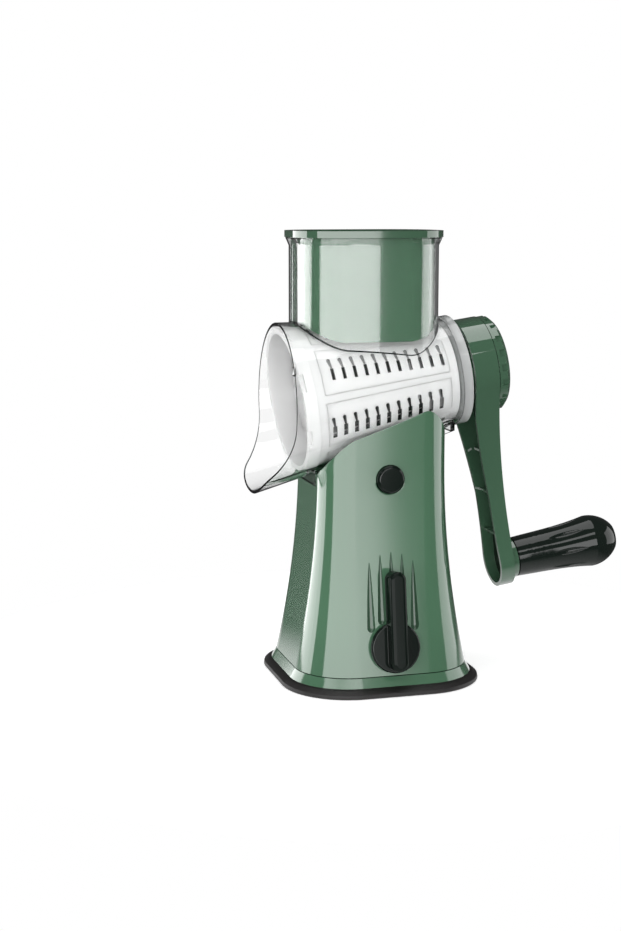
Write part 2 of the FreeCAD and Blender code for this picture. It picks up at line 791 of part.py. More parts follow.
def make_latch():
    """A frame round the housing's tongue, whose tooth sits in the tongue's window."""
    body = new_body("release_latch", Placement(Vector(0, 0, BUTTON_HEIGHT), Rotation()))
    sketch = new_sketch(body, "XY_Plane")
    draw_outline(sketch, [("-latch_half", "-latch_front"), ("latch_half", "-latch_front"),
                          ("latch_half", "latch_back"), ("-latch_half", "latch_back")])
    inner, back = "latch_half - latch_bar", "latch_back - latch_bar"
    draw_outline(sketch, [(f"-({inner})", "latch_bar - latch_front"), (inner, "latch_bar - latch_front"),
                          (inner, back), ("tooth_half", back), ("tooth_half", "-tooth_tip"),
                          ("-tooth_half", "-tooth_tip"), ("-tooth_half", back), (f"-({inner})", back)])
    pad(body, sketch, "latch_high", both_ways=True)


def make_spring():
    """The coil spring behind the latch, between it and the rib under the deck."""
    length = v.spring_end - v.latch_back - 2 * v.spring_wire
    coil = Part.makeHelix(length / v.spring_turns, length, v.spring_radius)
    start = Part.Circle(Vector(v.spring_radius, 0, 0), Vector(0, 1, 0), v.spring_wire).toShape()
    wire = Part.Wire(coil.Edges).makePipeShell([Part.Wire([start])], True, True)
    start_spot = Vector(0, v.latch_back + v.spring_wire, BUTTON_HEIGHT)
    place = Placement(start_spot, Rotation(Vector(1, 0, 0), -90))
    return keep_shape("release_spring", wire, place)


# ---------------------------------------------------------------- clear housing
def mouth_cutter():
    """Everything left of the spout's edge: upright above, swept out to the lip below."""
    angle = math.radians(v.mouth_sweep_angle)
    start = v.axis_height - v.mouth_bend_drop
    low = start - v.mouth_sweep * math.sin(angle)
    bend = v.mouth_x - v.mouth_sweep * (1 - math.cos(angle))
    tip = low - v.mouth_tip_radius * math.sin(angle)
    edge = bend - v.mouth_tip_radius * (1 - math.cos(angle))
    half = angle / 2
    sweep_mid = Vector(v.mouth_x - v.mouth_sweep * (1 - math.cos(half)), 0,
                       start - v.mouth_sweep * math.sin(half))
    tip_mid = Vector(edge + v.mouth_tip_radius * (1 - math.cos(half)), 0,
                     tip + v.mouth_tip_radius * math.sin(half))
    far, high, deep = v.mouth_x - v.beyond, v.axis_height + v.beyond, tip - v.beyond
    corners = [Vector(far, 0, high), Vector(v.mouth_x, 0, high), Vector(v.mouth_x, 0, start)]
    bend_spot, tip_spot = Vector(bend, 0, low), Vector(edge, 0, tip)
    feet = [Vector(edge, 0, deep), Vector(far, 0, deep)]
    edges = [Part.makeLine(corners[0], corners[1]), Part.makeLine(corners[1], corners[2]),
             Part.Arc(corners[2], sweep_mid, bend_spot).toShape(),
             Part.Arc(bend_spot, tip_mid, tip_spot).toShape(),
             Part.makeLine(tip_spot, feet[0]), Part.makeLine(feet[0], feet[1]),
             Part.makeLine(feet[1], corners[0])]
    face = Part.Face(Part.Wire(edges)).translated(Vector(0, -v.beyond, 0))
    return face.extrude(Vector(0, 2 * v.beyond, 0))


def hopper_solid(inset, low):
    """The feed tube with its flared mouth, by an inset."""
    half, depth = v.hopper_half - inset, v.hopper_depth - inset
    corner = v.hopper_corner - inset
    neck = HOPPER_TOP - v.hopper_flare_height
    tube = oblong(half, depth, corner, low, neck, v.hopper_x)
    flare = Part.makeLoft([oblong_wire(half, depth, corner, neck, v.hopper_x),
                           oblong_wire(half + v.hopper_flare, depth + v.hopper_flare,
                                       corner + v.hopper_flare, HOPPER_TOP, v.hopper_x)], True, True)
    return tube.fuse(flare)


def keel_solid(inset, lift):
    """The rail under the cone that drops into the base's slot."""
    left, right = v.keel_left + inset, v.keel_right - inset
    rise = v.axis_height
    return side_prism([(left, keel_height(left) - lift), (right, keel_height(right) - lift),
                       (right, rise), (left, rise)], v.keel_half - inset)


def make_housing():
    """Hopper, cone, spout, keel and rear bearing seat in one clear moulding."""
    far = v.mouth_x - v.mouth_sweep
    end = v.housing_rear + v.end_wall
    cone = head_cone(housing_radius, far, end)
    x_way = Vector(1, 0, 0)
    lip = Part.makeCylinder(v.lip_radius, v.end_wall + v.lip_length, Vector(v.housing_rear, 0, 0), x_way)
    lip_bore = Part.makeCylinder(v.lip_radius - v.lip_wall, v.lip_length, Vector(end, 0, 0), x_way)
    bush_bore = Part.makeCylinder(v.bush_radius, v.lip_length + 2 * v.end_wall,
                                  Vector(v.bush_front, 0, 0), x_way)
    hollow = head_cone(housing_radius, far, v.housing_rear, -v.housing_wall)
    keel = keel_solid(0, 0).cut(keel_solid(v.keel_wall, v.keel_wall))
    tongue = block(-v.tongue_half, v.tongue_half, -v.tongue_front, v.tongue_wall - v.tongue_front,
                   TONGUE_LOW, v.axis_height)
    window = block(-v.tooth_half - v.gap, v.tooth_half + v.gap, -v.tongue_front - v.over,
                   v.tongue_wall - v.tongue_front + v.over, BUTTON_HEIGHT - v.latch_high / 2 - v.gap,
                   BUTTON_HEIGHT + v.latch_high / 2 + v.gap)
    outer = cone.fuse([placed(lip, HEAD), hopper_solid(0, v.axis_height), keel, tongue])
    cuts = [hollow, placed(lip_bore, HEAD), placed(bush_bore, HEAD),
            hopper_solid(v.hopper_wall, v.axis_height), mouth_cutter(), window]
    return keep_shape("feed_housing", outer.cut(cuts).removeSplitter())


def make_bush():
    """The bearing bush in the housing's rear wall, which the crank's spigot runs in."""
    body = new_body("bearing_bush", HEAD)
    sketch = new_sketch(body, "XZ_Plane")
    bore = "spigot_radius + run_gap"
    flange = "housing_rear + end_wall"
    back = f"{flange} + end_wall / 2"
    draw_outline(sketch, [("bush_front", bore), ("bush_front", "bush_radius"), (flange, "bush_radius"),
                          (flange, "bush_flange_radius"), (back, "bush_flange_radius"),
                          (back, "bush_radius"), ("bush_rear", "bush_radius"), ("bush_rear", bore)])
    spin(body, sketch, "H_Axis")


# ---------------------------------------------------------------- drum
DRUM = HEAD.multiply(Placement(Vector(), Rotation(Vector(1, 0, 0), 90 - v.panel_phase)))


def on_drum(along, depth="0"):
    """Expression of the drum's radius at a place on its axis, less a depth."""
    rise = "(drum_rear_radius - drum_front_radius) / (drum_rear - drum_front)"
    return f"drum_front_radius + (({along}) - drum_front) * {rise} - ({depth})"


def groove(body, front, rear, depth, angle):
    """A window cut into the drum's cone, symmetrical about the upright plane."""
    sketch = new_sketch(body, "XZ_Plane")
    draw_outline(sketch, [(front, on_drum(front, depth)), (rear, on_drum(rear, depth)),
                          (rear, on_drum(rear, "-drum_wall")), (front, on_drum(front, "-drum_wall"))])
    feature = add_feature(body, "Groove", sketch, Angle=f"({angle}) * 1 deg")
    feature.ReferenceAxis = (sketch, ["H_Axis"])
    feature.Midplane = True
    return feature


def make_drum_frame():
    """A cone cage: mouth ring, ribs with ledges for the panels, and a closed end with the hub."""
    body = new_body("drum_frame", DRUM)
    cage = new_sketch(body, "XZ_Plane")
    inside_end = "drum_rear - drum_end_wall"
    draw_outline(cage, [("ring_front", "ring_bore"), ("ring_front", "ring_radius"),
                        ("drum_front", "ring_radius"), ("drum_front", "drum_front_radius"),
                        ("drum_rear", "drum_rear_radius"), ("drum_rear", "0"),
                        ("drum_hub_front", "0"), ("drum_hub_front", "drum_hub_radius"),
                        (inside_end, "drum_hub_radius"), (inside_end, on_drum(inside_end, "drum_wall"))])
    spin(body, cage, "H_Axis")
    socket = new_sketch(body, "YZ_Plane", "socket_front")
    socket.AttachmentOffset = Placement(socket.AttachmentOffset.Base, Rotation(v.panel_phase, 0, 0))
    socket.setExpression("AttachmentOffset.Rotation.Angle", sized("panel_phase * 1 deg"))
    side = "socket_side / 2 + gap / 2"
    draw_outline(socket, [(f"-({side})", f"-({side})"), (side, f"-({side})"), (side, side),
                          (f"-({side})", side)])
    cut_along(body, socket, "drum_rear - socket_front")
    drill(body, "drum_hub_front", "socket_front", "nut_radius")
    seat = groove(body, "panel_front - gap / 2", "panel_rear + gap / 2", "panel_wall",
                  "panel_angle + panel_angle_gap")
    window = groove(body, "panel_front + panel_ledge", "panel_rear - panel_ledge", "2 * drum_wall",
                    "panel_angle - 2 * panel_ledge_angle")
    notch = new_sketch(body, "XZ_Plane")
    notch.AttachmentOffset = Placement(Vector(), Rotation(Vector(1, 0, 0), v.ring_notch_turn))
    notch.setExpression("AttachmentOffset.Rotation.Angle", sized("ring_notch_turn * 1 deg"))
    draw_outline(notch, [("ring_front", "ring_radius - ring_notch_depth"),
                         ("ring_front + ring_notch", "ring_radius - ring_notch_depth"),
                         ("ring_front + ring_notch", "ring_radius + over"),
                         ("ring_front", "ring_radius + over")])
    latch_notch = add_feature(body, "Groove", notch, Angle="ring_notch_angle * 1 deg")
    latch_notch.ReferenceAxis = (notch, ["H_Axis"])
    latch_notch.Midplane = True
    doc.recompute()
    repeat_round(body, [seat, window, latch_notch], "panel_count")


def panel_blank():
    """A sector of the drum's cone, symmetrical about the upright plane."""
    front, rear = v.panel_front, v.panel_rear
    corners = [Vector(front, 0, drum_radius(front)), Vector(rear, 0, drum_radius(rear)),
               Vector(rear, 0, drum_radius(rear) - v.panel_wall),
               Vector(front, 0, drum_radius(front) - v.panel_wall)]
    face = Part.Face(Part.makePolygon(corners + corners[:1]))
    face = face.rotated(Vector(), Vector(1, 0, 0), -v.panel_angle / 2)
    return face.revolve(Vector(), Vector(1, 0, 0), v.panel_angle)


def turned(shape, across, radius):
    """Turns a shape at the top of the cone to a place some way across it."""
    return shape.rotated(Vector(), Vector(1, 0, 0), -math.degrees(across / radius))


def make_hood(along, radius):
    """A raised drop: a neck at the slot's end that swells to a round end."""
    sink = radius + v.hood_rise - v.hood_radius
    neck = Vector(along, -v.hood_length, sink)
    crown = Vector(along + v.hood_shift, 0, sink)
    reach = crown - neck
    drop = Part.makeCone(v.hood_neck_radius, v.hood_radius, reach.Length, neck, reach)
    return drop.fuse(Part.makeSphere(v.hood_radius, crown))


def make_scoop(along, radius, depth):
    """The hollow in a hood, cut straight down from its top."""
    top = radius + v.hood_rise + v.over
    low = radius + v.hood_rise - depth
    crown = along + v.hood_shift
    outline = [Vector(along - v.scoop_neck, -v.hood_length - v.scoop_neck, low),
               Vector(along + v.scoop_neck, -v.hood_length - v.scoop_neck, low),
               Vector(crown + v.scoop_radius, 0, low), Vector(crown - v.scoop_radius, 0, low)]
    tail = Part.Face(Part.makePolygon(outline + outline[:1])).extrude(Vector(0, 0, top - low))
    return tail.fuse(Part.makeCylinder(v.scoop_radius, top - low, Vector(crown, 0, low)))


def make_panel_shape(shift, slot_width, slot_length, slot_offset, scoop_depth):
    """A cutting panel: a row of slots, each with a raised hood that opens towards it."""
    hoods, cuts = [], []
    crown = slot_offset + slot_length / 2 + v.hood_length
    for number in range(int(v.tooth_count)):
        along = v.tooth_middle + shift + (number - (v.tooth_count - 1) / 2) * v.tooth_pitch
        radius = drum_radius(along)
        slot = block(along - slot_width / 2, along + slot_width / 2,
                     -slot_length / 2, slot_length / 2, radius - 2 * v.panel_wall, radius + v.panel_wall)
        cuts.append(turned(slot, slot_offset, radius))
        cuts.append(turned(make_scoop(along, radius, scoop_depth), crown, radius))
        hoods.append(turned(make_hood(along, radius), crown, radius))
    front, rear = v.panel_front, v.panel_rear
    bore = Part.makeCone(drum_radius(front) - v.panel_wall, drum_radius(rear) - v.panel_wall,
                         rear - front, Vector(front, 0, 0), Vector(1, 0, 0))
    return panel_blank().fuse(hoods).cut([bore] + cuts).removeSplitter()


def make_panels():
    """Eight panels: fine ones with blind scoops, and between them coarse ones that are open."""
    fine = make_panel_shape(0, v.slot_width, v.slot_length, v.slot_offset, v.scoop_depth)
    coarse = make_panel_shape(v.tooth_stagger, v.wide_slot_width, v.wide_slot_length,
                              v.wide_slot_offset, v.hood_rise + 2 * v.hood_radius)
    step = 360 / v.panel_count
    for number in range(int(v.panel_count)):
        shape = coarse if number % 2 else fine
        turn = Placement(Vector(), Rotation(Vector(1, 0, 0), step * number))
        keep_shape(f"blade_panel_{number + 1}", shape, DRUM.multiply(turn))


def make_drum_nut():
    """The threaded insert in the drum's hub that the clamp bolt draws on."""
    body = new_body("drum_nut", HEAD)
    disc(body, "drum_hub_front", "socket_front", "nut_radius")
    drill(body, "drum_hub_front", "socket_front", "bolt_radius")


# ---------------------------------------------------------------- crank
def draw_arm(sketch, inset):
    """The arm's outline: a large and a small circle joined by two hollow arcs."""
    head, end = f"head_radius - {inset}", f"arm_end_radius - {inset}"
    waist = f"arm_waist_radius + {inset}"
    head_radius, end_radius, waist_radius = worth(head), worth(end), worth(waist)
    length = v.arm_length
    to_head, to_end = waist_radius + head_radius, waist_radius + end_radius
    drop = (to_head ** 2 - to_end ** 2 + length ** 2) / (2 * length)
    out = math.sqrt(to_head ** 2 - drop ** 2)
    upper, lower = math.atan2(drop, out), math.atan2(drop - length, out)

    def arc(x, y, radius, start, stop):
        circle = Part.Circle(Vector(x, y, 0), Vector(0, 0, 1), radius)
        return sketch.addGeometry(Part.ArcOfCircle(circle, start, stop))
    top = arc(0, 0, head_radius, -upper, math.pi + upper)
    left = arc(-out, -drop, waist_radius, lower, upper)
    foot = arc(0, -length, end_radius, math.pi + lower, 2 * math.pi - lower)
    right = arc(out, -drop, waist_radius, math.pi - upper, math.pi - lower)
    for one, one_end, other, other_end in ((top, 2, left, 2), (left, 1, foot, 1),
                                           (foot, 2, right, 2), (right, 1, top, 1)):
        sketch.addConstraint(Sketcher.Constraint("Tangent", one, one_end, other, other_end))
    sketch.addConstraint(Sketcher.Constraint("Coincident", top, 3, -1, 1))
    tie(sketch, foot, 3, "0", "-arm_length")
    for geometry, radius in ((top, head), (left, waist), (foot, end), (right, waist)):
        bind(sketch, Sketcher.Constraint("Radius", geometry, worth(radius)), radius)


def make_crank_arm():
    """Head, hollow ribbed arm, grip boss, and the spigot that turns the drum."""
    body = new_body("crank_arm", HEAD)
    outline = new_sketch(body, "YZ_Plane", "head_front")
    draw_arm(outline, "0")
    pad(body, outline, "head_rear - head_front")
    cavity = new_sketch(body, "YZ_Plane", "head_front")
    draw_arm(cavity, "arm_wall")
    cut_along(body, cavity, "head_rear - head_front - arm_web")
    rib = new_sketch(body, "YZ_Plane", "arm_front_end + arm_rib_recess")
    rib_low = "-(arm_rib_first + arm_rib / 2)"
    rib_high = "-(arm_rib_first - arm_rib / 2)"
    draw_outline(rib, [("-arm_rib_half", rib_low), ("arm_rib_half", rib_low),
                       ("arm_rib_half", rib_high), ("-arm_rib_half", rib_high)])
    first = pad(body, rib, "head_rear - arm_web / 2 - arm_front_end - arm_rib_recess")
    doc.recompute()
    ribs = body.newObject("PartDesign::LinearPattern", "arm_ribs")
    ribs.Originals = [first]
    ribs.Direction = (rib, ["V_Axis"])
    ribs.Reversed = True
    ribs.setExpression("Length", sized("arm_rib_pitch * (arm_rib_count - 1)"))
    ribs.setExpression("Occurrences", sized("arm_rib_count"))
    body.Tip = ribs
    relief = new_sketch(body, "XZ_Plane")
    before = "head_front - arm_wall"
    draw_outline(relief, [(before, "-head_radius"), ("head_front", "-head_radius"),
                          ("arm_front_mid", "-arm_mid"), ("arm_front_end", "-arm_length"),
                          ("arm_front_end", "-(arm_length + 2 * arm_end_radius)"),
                          (before, "-(arm_length + 2 * arm_end_radius)")])
    cut_along(body, relief, "4 * head_radius", both_ways=True)
    disc(body, "socket_front + gap + square_length", "head_rear - arm_web / 2", "spigot_radius")
    square = new_sketch(body, "YZ_Plane", "socket_front + gap")
    side = "socket_side / 2"
    draw_outline(square, [(f"-{side}", f"-{side}"), (side, f"-{side}"), (side, side), (f"-{side}", side)])
    pad(body, square, "square_length + over")
    disc(body, "head_rear - arm_web / 2", "head_rear + grip_boss", "grip_boss_radius", "arm_length")
    drill(body, "socket_front", "head_rear", "bolt_radius")
    boss_face = "head_rear + grip_boss"
    drill(body, f"{boss_face} - axle_depth", boss_face, "axle_radius", "arm_length")


def make_knob():
    """The notched knob that clamps the crank to the drum."""
    body = new_body("crank_knob", HEAD)
    sketch = new_sketch(body, "XZ_Plane")
    back = "head_rear + knob_seal"
    front = f"{back} + knob_height"
    floor = f"{front} - knob_dish"
    neck = f"{floor} - bolt_head"
    draw_outline(sketch, [(back, "bolt_radius"), (back, "knob_radius"),
                          (f"{front} - knob_round", "knob_radius"), (front, "knob_radius - knob_round"),
                          (front, "knob_dish_radius + knob_dish"), (floor, "knob_dish_radius"),
                          (floor, "bolt_head_radius"), (neck, "bolt_head_radius"), (neck, "bolt_radius")])
    spin(body, sketch, "H_Axis")
    notch = new_sketch(body, "YZ_Plane", f"{back} + knob_notch_start")
    side = "knob_notch_width / 2"
    deep = "knob_radius - knob_notch_depth"
    draw_outline(notch, [(f"-{side}", deep), (side, deep), (side, "knob_radius + over"),
                         (f"-{side}", "knob_radius + over")])
    first = cut_along(body, notch, "knob_height")
    doc.recompute()
    repeat_round(body, [first], "knob_notches")


def make_knob_seal():
    body = new_body("knob_seal", HEAD)
    disc(body, "head_rear", "head_rear + knob_seal", "knob_seal_radius")
    drill(body, "head_rear", "head_rear + knob_seal", "bolt_radius")


def make_clamp_bolt():
    """The bolt held in the knob, through the crank and into the drum's insert."""
    body = new_body("clamp_bolt", HEAD)
    face = "head_rear + knob_seal + knob_height - knob_dish"
    disc(body, "bolt_end", f"{face} - bolt_head / 2", "bolt_radius")
    disc(body, f"{face} - bolt_head", face, "bolt_head_radius")


# ---------------------------------------------------------------- grip
GRIP = HEAD.multiply(Placement(Vector(0, 0, -v.arm_length), Rotation()))
GRIP_START = v.head_rear + v.grip_boss + v.washer + v.seat_gap


def spun(edges):
    """A profile of edges, from the axis round to the axis, spun about it."""
    ends = edges[-1].lastVertex().Point, edges[0].firstVertex().Point
    face = Part.Face(Part.Wire(edges + [Part.makeLine(*ends)]))
    return face.revolve(Vector(), Vector(1, 0, 0), 360)


def grip_flutes():
    """Spindles that leave long pointed flutes on the grip."""
    half = v.grip_flute_length / 2
    middle = v.grip_flute_start + half
    arc = Part.Arc(Vector(middle - half, 0, 0), Vector(middle, 0, v.grip_flute_width),
                   Vector(middle + half, 0, 0)).toShape()
    spindle = spun([arc])
    tilt = math.degrees(math.atan2(v.grip_belly_radius - v.grip_waist_radius,
                                   v.grip_seam - v.grip_waist))
    spindle = spindle.rotated(Vector(middle, 0, 0), Vector(0, 1, 0), -tilt / 2)
    spindle = spindle.translated(Vector(0, 0, v.grip_swell_radius + v.grip_flute_width / 4))
    step = 360 / v.grip_flutes
    return [spindle.rotated(Vector(), Vector(1, 0, 0), step * number)
            for number in range(int(v.grip_flutes))]


def make_grip():
    """The turning handle, swelling towards its end."""
    rings = [(GRIP_START, v.grip_neck_radius), (v.grip_waist, v.grip_waist_radius),
             (v.grip_swell, v.grip_swell_radius), (v.grip_seam, v.grip_belly_radius)]
    spots = [Vector(along, 0, radius) for along, radius in rings]
    curve = Part.BSplineCurve()
    curve.interpolate(spots)
    edges = [Part.makeLine(Vector(GRIP_START, 0, 0), spots[0]), curve.toShape(),
             Part.makeLine(spots[-1], Vector(v.grip_seam, 0, 0))]
    x_way = Vector(1, 0, 0)
    recess_start = v.grip_seam - v.grip_recess
    head_room = recess_start - v.axle_head - 2 * v.gap
    bore = Part.makeCylinder(v.axle_radius + v.run_gap, v.grip_seam, Vector(), x_way)
    pit = Part.makeCylinder(v.axle_head_radius + 2 * v.gap, v.grip_seam - head_room,
                            Vector(head_room, 0, 0), x_way)
    recess = Part.makeCylinder(v.grip_recess_radius, v.grip_recess, Vector(recess_start, 0, 0), x_way)
    grip = spun(edges).cut([bore, pit, recess] + grip_flutes())
    return keep_shape("crank_grip", grip, GRIP)


def make_end_cap():
    """The rounded cap that closes the grip over the axle's head."""
    seam = Vector(v.grip_seam, 0, v.grip_belly_radius)
    tail = Vector(v.cap_tail, 0, v.cap_tail_radius)
    round_mid = Vector(v.cap_shoulder, 0, v.cap_shoulder_radius)
    flat = Vector(v.grip_end, 0, v.cap_tail_radius / 2)
    turn_mid = Vector((v.cap_tail + 2 * v.grip_end) / 3, 0, v.cap_turn_radius)
    edges = [Part.makeLine(Vector(v.grip_seam, 0, 0), seam), Part.Arc(seam, round_mid, tail).toShape(),
             Part.Arc(tail, turn_mid, flat).toShape(), Part.makeLine(flat, Vector(v.grip_end, 0, 0))]
    plug = Part.makeCylinder(v.grip_recess_radius, v.grip_recess, Vector(v.grip_seam - v.grip_recess, 0, 0),
                             Vector(1, 0, 0))
    return keep_shape("grip_end_cap", spun(edges).fuse(plug).removeSplitter(), GRIP)


def make_axle():
    """The steel pin, fixed in the arm, that the grip turns on."""
    body = new_body("grip_axle", GRIP)
    end = "grip_seam - grip_recess - gap"
    disc(body, "head_rear + grip_boss - axle_depth", f"{end} - axle_head / 2", "axle_radius")
    disc(body, f"{end} - axle_head", end, "axle_head_radius")


def make_washer():
    body = new_body("grip_washer", GRIP)
    face = "head_rear + grip_boss"
    disc(body, face, f"{face} + washer", "washer_radius")
    drill(body, face, f"{face} + washer", "axle_radius")


# ---------------------------------------------------------------- pusher
def make_pusher():
    """An open cup that fills the hopper, arched underneath to clear the drum."""
    inset = v.hopper_wall + v.pusher_gap
    half, depth, corner = v.hopper_half - inset, v.hopper_depth - inset, v.hopper_corner - inset
    rim_low = HOPPER_TOP + v.gap
    rim_top = rim_low + v.flange_height
    low = v.axis_height - v.pusher_arch_drop
    cup = oblong(half, depth, corner, low, rim_top, v.hopper_x)
    flange = oblong(v.flange_half, v.flange_depth, v.flange_corner, rim_low, rim_top, v.hopper_x)
    hollow = oblong(half - v.pusher_wall, depth - v.pusher_wall, corner - v.pusher_wall, low, rim_top,
                    v.hopper_x)
    far = v.beyond
    ends = Vector(-far, 0, low), Vector(1, 0, 0)
    arch = Part.makeCylinder(v.pusher_arch_radius, 2 * far, *ends)
    floor = Part.makeCylinder(v.pusher_arch_radius + v.pusher_wall, 2 * far, *ends)
    pusher = cup.fuse(flange).cut(hollow.cut(floor)).cut(arch)
    below = block(-far, far, -far, far, low - far, arch_foot(low))
    return keep_shape("food_pusher", pusher.cut(below).removeSplitter())


def arch_foot(low):
    """Height where the arch meets the cup's long walls."""
    reach = v.hopper_depth - v.hopper_wall - v.pusher_gap
    return low + math.sqrt(v.pusher_arch_radius ** 2 - reach ** 2)


for make in (make_base_shell, make_bottom_cover, make_base_screws, make_foot_gasket, make_suction_cup,
             make_plunger, make_lever, make_cam_shaft, make_shaft_clip, make_button, make_latch,
             make_spring, make_housing, make_bush, make_drum_frame, make_panels, make_drum_nut,
             make_crank_arm, make_knob, make_knob_seal, make_clamp_bolt, make_grip, make_end_cap,
             make_axle, make_washer, make_pusher):
    make()
doc.recompute()

for item in doc.Objects:
    if {"Invalid", "Error"} & set(item.State):
        raise RuntimeError(f"{item.Label} failed: {item.State}")
os.makedirs("parts", exist_ok=True)
for piece in PIECES:
    if piece.Shape.isNull() or not piece.Shape.isValid():
        raise RuntimeError(f"{piece.Label} has no valid shape")
for piece in PIECES:
    piece.Shape.exportStep(f"parts/{piece.Label}.step")
    box = piece.Shape.BoundBox
    print(f"{piece.Label:18s} solids {len(piece.Shape.Solids):2d} faces {len(piece.Shape.Faces):4d} "
          f"volume {piece.Shape.Volume:10.1f}  x {box.XMin:7.1f} {box.XMax:7.1f}  "
          f"y {box.YMin:7.1f} {box.YMax:7.1f}  z {box.ZMin:7.1f} {box.ZMax:7.1f}")
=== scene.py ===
import math
import bmesh
import bpy
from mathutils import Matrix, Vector


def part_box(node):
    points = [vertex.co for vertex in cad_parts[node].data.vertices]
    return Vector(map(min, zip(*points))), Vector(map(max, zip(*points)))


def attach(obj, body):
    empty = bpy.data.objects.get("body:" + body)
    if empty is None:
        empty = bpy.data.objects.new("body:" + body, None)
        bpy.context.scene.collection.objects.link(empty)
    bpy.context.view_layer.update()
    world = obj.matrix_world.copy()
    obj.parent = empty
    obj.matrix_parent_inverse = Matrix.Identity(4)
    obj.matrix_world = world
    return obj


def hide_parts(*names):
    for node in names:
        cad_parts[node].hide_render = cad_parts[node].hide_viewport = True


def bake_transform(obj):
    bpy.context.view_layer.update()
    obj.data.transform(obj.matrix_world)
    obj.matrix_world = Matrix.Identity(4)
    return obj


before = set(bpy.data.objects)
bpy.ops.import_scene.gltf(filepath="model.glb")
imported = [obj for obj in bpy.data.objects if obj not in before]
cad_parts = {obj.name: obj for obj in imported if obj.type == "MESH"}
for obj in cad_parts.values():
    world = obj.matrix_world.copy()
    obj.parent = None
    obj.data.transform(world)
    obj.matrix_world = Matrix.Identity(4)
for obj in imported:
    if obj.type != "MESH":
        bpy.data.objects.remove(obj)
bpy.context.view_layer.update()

mm = 0.001
making = {"sharp": 35, "flatten": 0.05, "join": 0.002 * mm}  # two angles in degrees, and a distance


def nodesOf(name):
    material = bpy.data.materials.new(name)
    material.use_nodes = True
    tree = material.node_tree
    return material, tree, tree.nodes["Principled BSDF"]


def noiseOn(tree, scale, detail=3.0, stretch=(1, 1, 1)):
    place = tree.nodes.new("ShaderNodeTexCoord")
    mapping = tree.nodes.new("ShaderNodeMapping")
    mapping.inputs["Scale"].default_value = stretch
    noise = tree.nodes.new("ShaderNodeTexNoise")
    noise.inputs["Scale"].default_value = scale
    noise.inputs["Detail"].default_value = detail
    tree.links.new(place.outputs["Object"], mapping.inputs["Vector"])
    tree.links.new(mapping.outputs["Vector"], noise.inputs["Vector"])
    return noise.outputs["Fac"]


def ramp(tree, source, start, end, low=0.0, high=1.0, shape="SMOOTHSTEP"):  # low at start, high at end
    span = tree.nodes.new("ShaderNodeMapRange")
    span.interpolation_type = shape
    for socket, value in (("From Min", start), ("From Max", end), ("To Min", low), ("To Max", high)):
        span.inputs[socket].default_value = value
    tree.links.new(source, span.inputs["Value"])
    return span.outputs["Result"]


def spread(tree, source, low, high):  # a noise between two values
    return ramp(tree, source, 0, 1, low, high, "LINEAR")


def mixColours(tree, source, first, second):
    mix = tree.nodes.new("ShaderNodeMix")
    mix.data_type = "RGBA"
    mix.inputs["A"].default_value = (*first, 1)
    mix.inputs["B"].default_value = (*second, 1)
    tree.links.new(source, mix.inputs["Factor"])
    return mix.outputs["Result"]


def mixShaders(tree, source, first, second):
    mix = tree.nodes.new("ShaderNodeMixShader")
    tree.links.new(source, mix.inputs["Fac"])
    tree.links.new(first, mix.inputs[1])
    tree.links.new(second, mix.inputs[2])
    return mix.outputs["Shader"]


def addBump(tree, shader, height, strength, distance):
    bump = tree.nodes.new("ShaderNodeBump")
    bump.inputs["Strength"].default_value = strength
    bump.inputs["Distance"].default_value = distance
    tree.links.new(height, bump.inputs["Height"])
    tree.links.new(bump.outputs["Normal"], shader.inputs["Normal"])


grain = {"detail": 4.0, "least": 0.85, "most": 1.15, "depth": 0.02 * mm}
milk = {"radius": (1, 1, 1), "reach": 6 * mm}
plainFinish = {"shine": 0.5, "coat": 0.0, "coatRoughness": 0.3, "coatIor": 1.5, "milky": 0.0}


def grainySurface(tree, shader, finish):
    height = noiseOn(tree, finish["grainScale"], grain["detail"])
    rough = spread(tree, height, finish["roughness"] * grain["least"], finish["roughness"] * grain["most"])
    tree.links.new(rough, shader.inputs["Roughness"])
    addBump(tree, shader, height, finish["bump"], grain["depth"])


def letLightIn(shader, finish):  # thin white plastic passes some light to its other side
    shader.inputs["Subsurface Weight"].default_value = finish["milky"]
    shader.inputs["Subsurface Radius"].default_value = milk["radius"]
    shader.inputs["Subsurface Scale"].default_value = milk["reach"]


def mouldedPlastic(name, changes):
    finish = {**plainFinish, **changes}
    material, tree, shader = nodesOf(name)
    tone = mixColours(tree, noiseOn(tree, finish["cloudScale"]), finish["colour"], finish["deep"])
    tree.links.new(tone, shader.inputs["Base Color"])
    grainySurface(tree, shader, finish)
    shader.inputs["Specular IOR Level"].default_value = finish["shine"]
    shader.inputs["Coat Weight"].default_value = finish["coat"]
    shader.inputs["Coat Roughness"].default_value = finish["coatRoughness"]
    shader.inputs["Coat IOR"].default_value = finish["coatIor"]
    letLightIn(shader, finish)
    return material


greenGloss = mouldedPlastic("greenGloss", {
    "colour": (0.056, 0.124, 0.073), "deep": (0.052, 0.117, 0.069), "cloudScale": 18, "grainScale": 900,
    "roughness": 0.06, "bump": 0.01, "coat": 1.0, "coatRoughness": 0.03, "coatIor": 1.65})
greenSatin = mouldedPlastic("greenSatin", {
    "colour": (0.074, 0.168, 0.098), "deep": (0.070, 0.160, 0.093), "cloudScale": 18, "grainScale": 900,
    "roughness": 0.12, "bump": 0.006, "coat": 1.0, "coatRoughness": 0.085})
# painted shade: a darker copy of the body green for the flutes' hollows
paintedFluteShade = mouldedPlastic("paintedFluteShade", {
    "colour": (0.040, 0.094, 0.054), "deep": (0.036, 0.088, 0.050), "cloudScale": 18, "grainScale": 900,
    "roughness": 0.20, "bump": 0.006, "coat": 0.5, "coatRoughness": 0.10})
blackGloss = mouldedPlastic("blackGloss", {
    "colour": (0.008, 0.013, 0.010), "deep": (0.006, 0.010, 0.008), "cloudScale": 30, "grainScale": 1100,
    "roughness": 0.07, "bump": 0.02, "shine": 0.45})
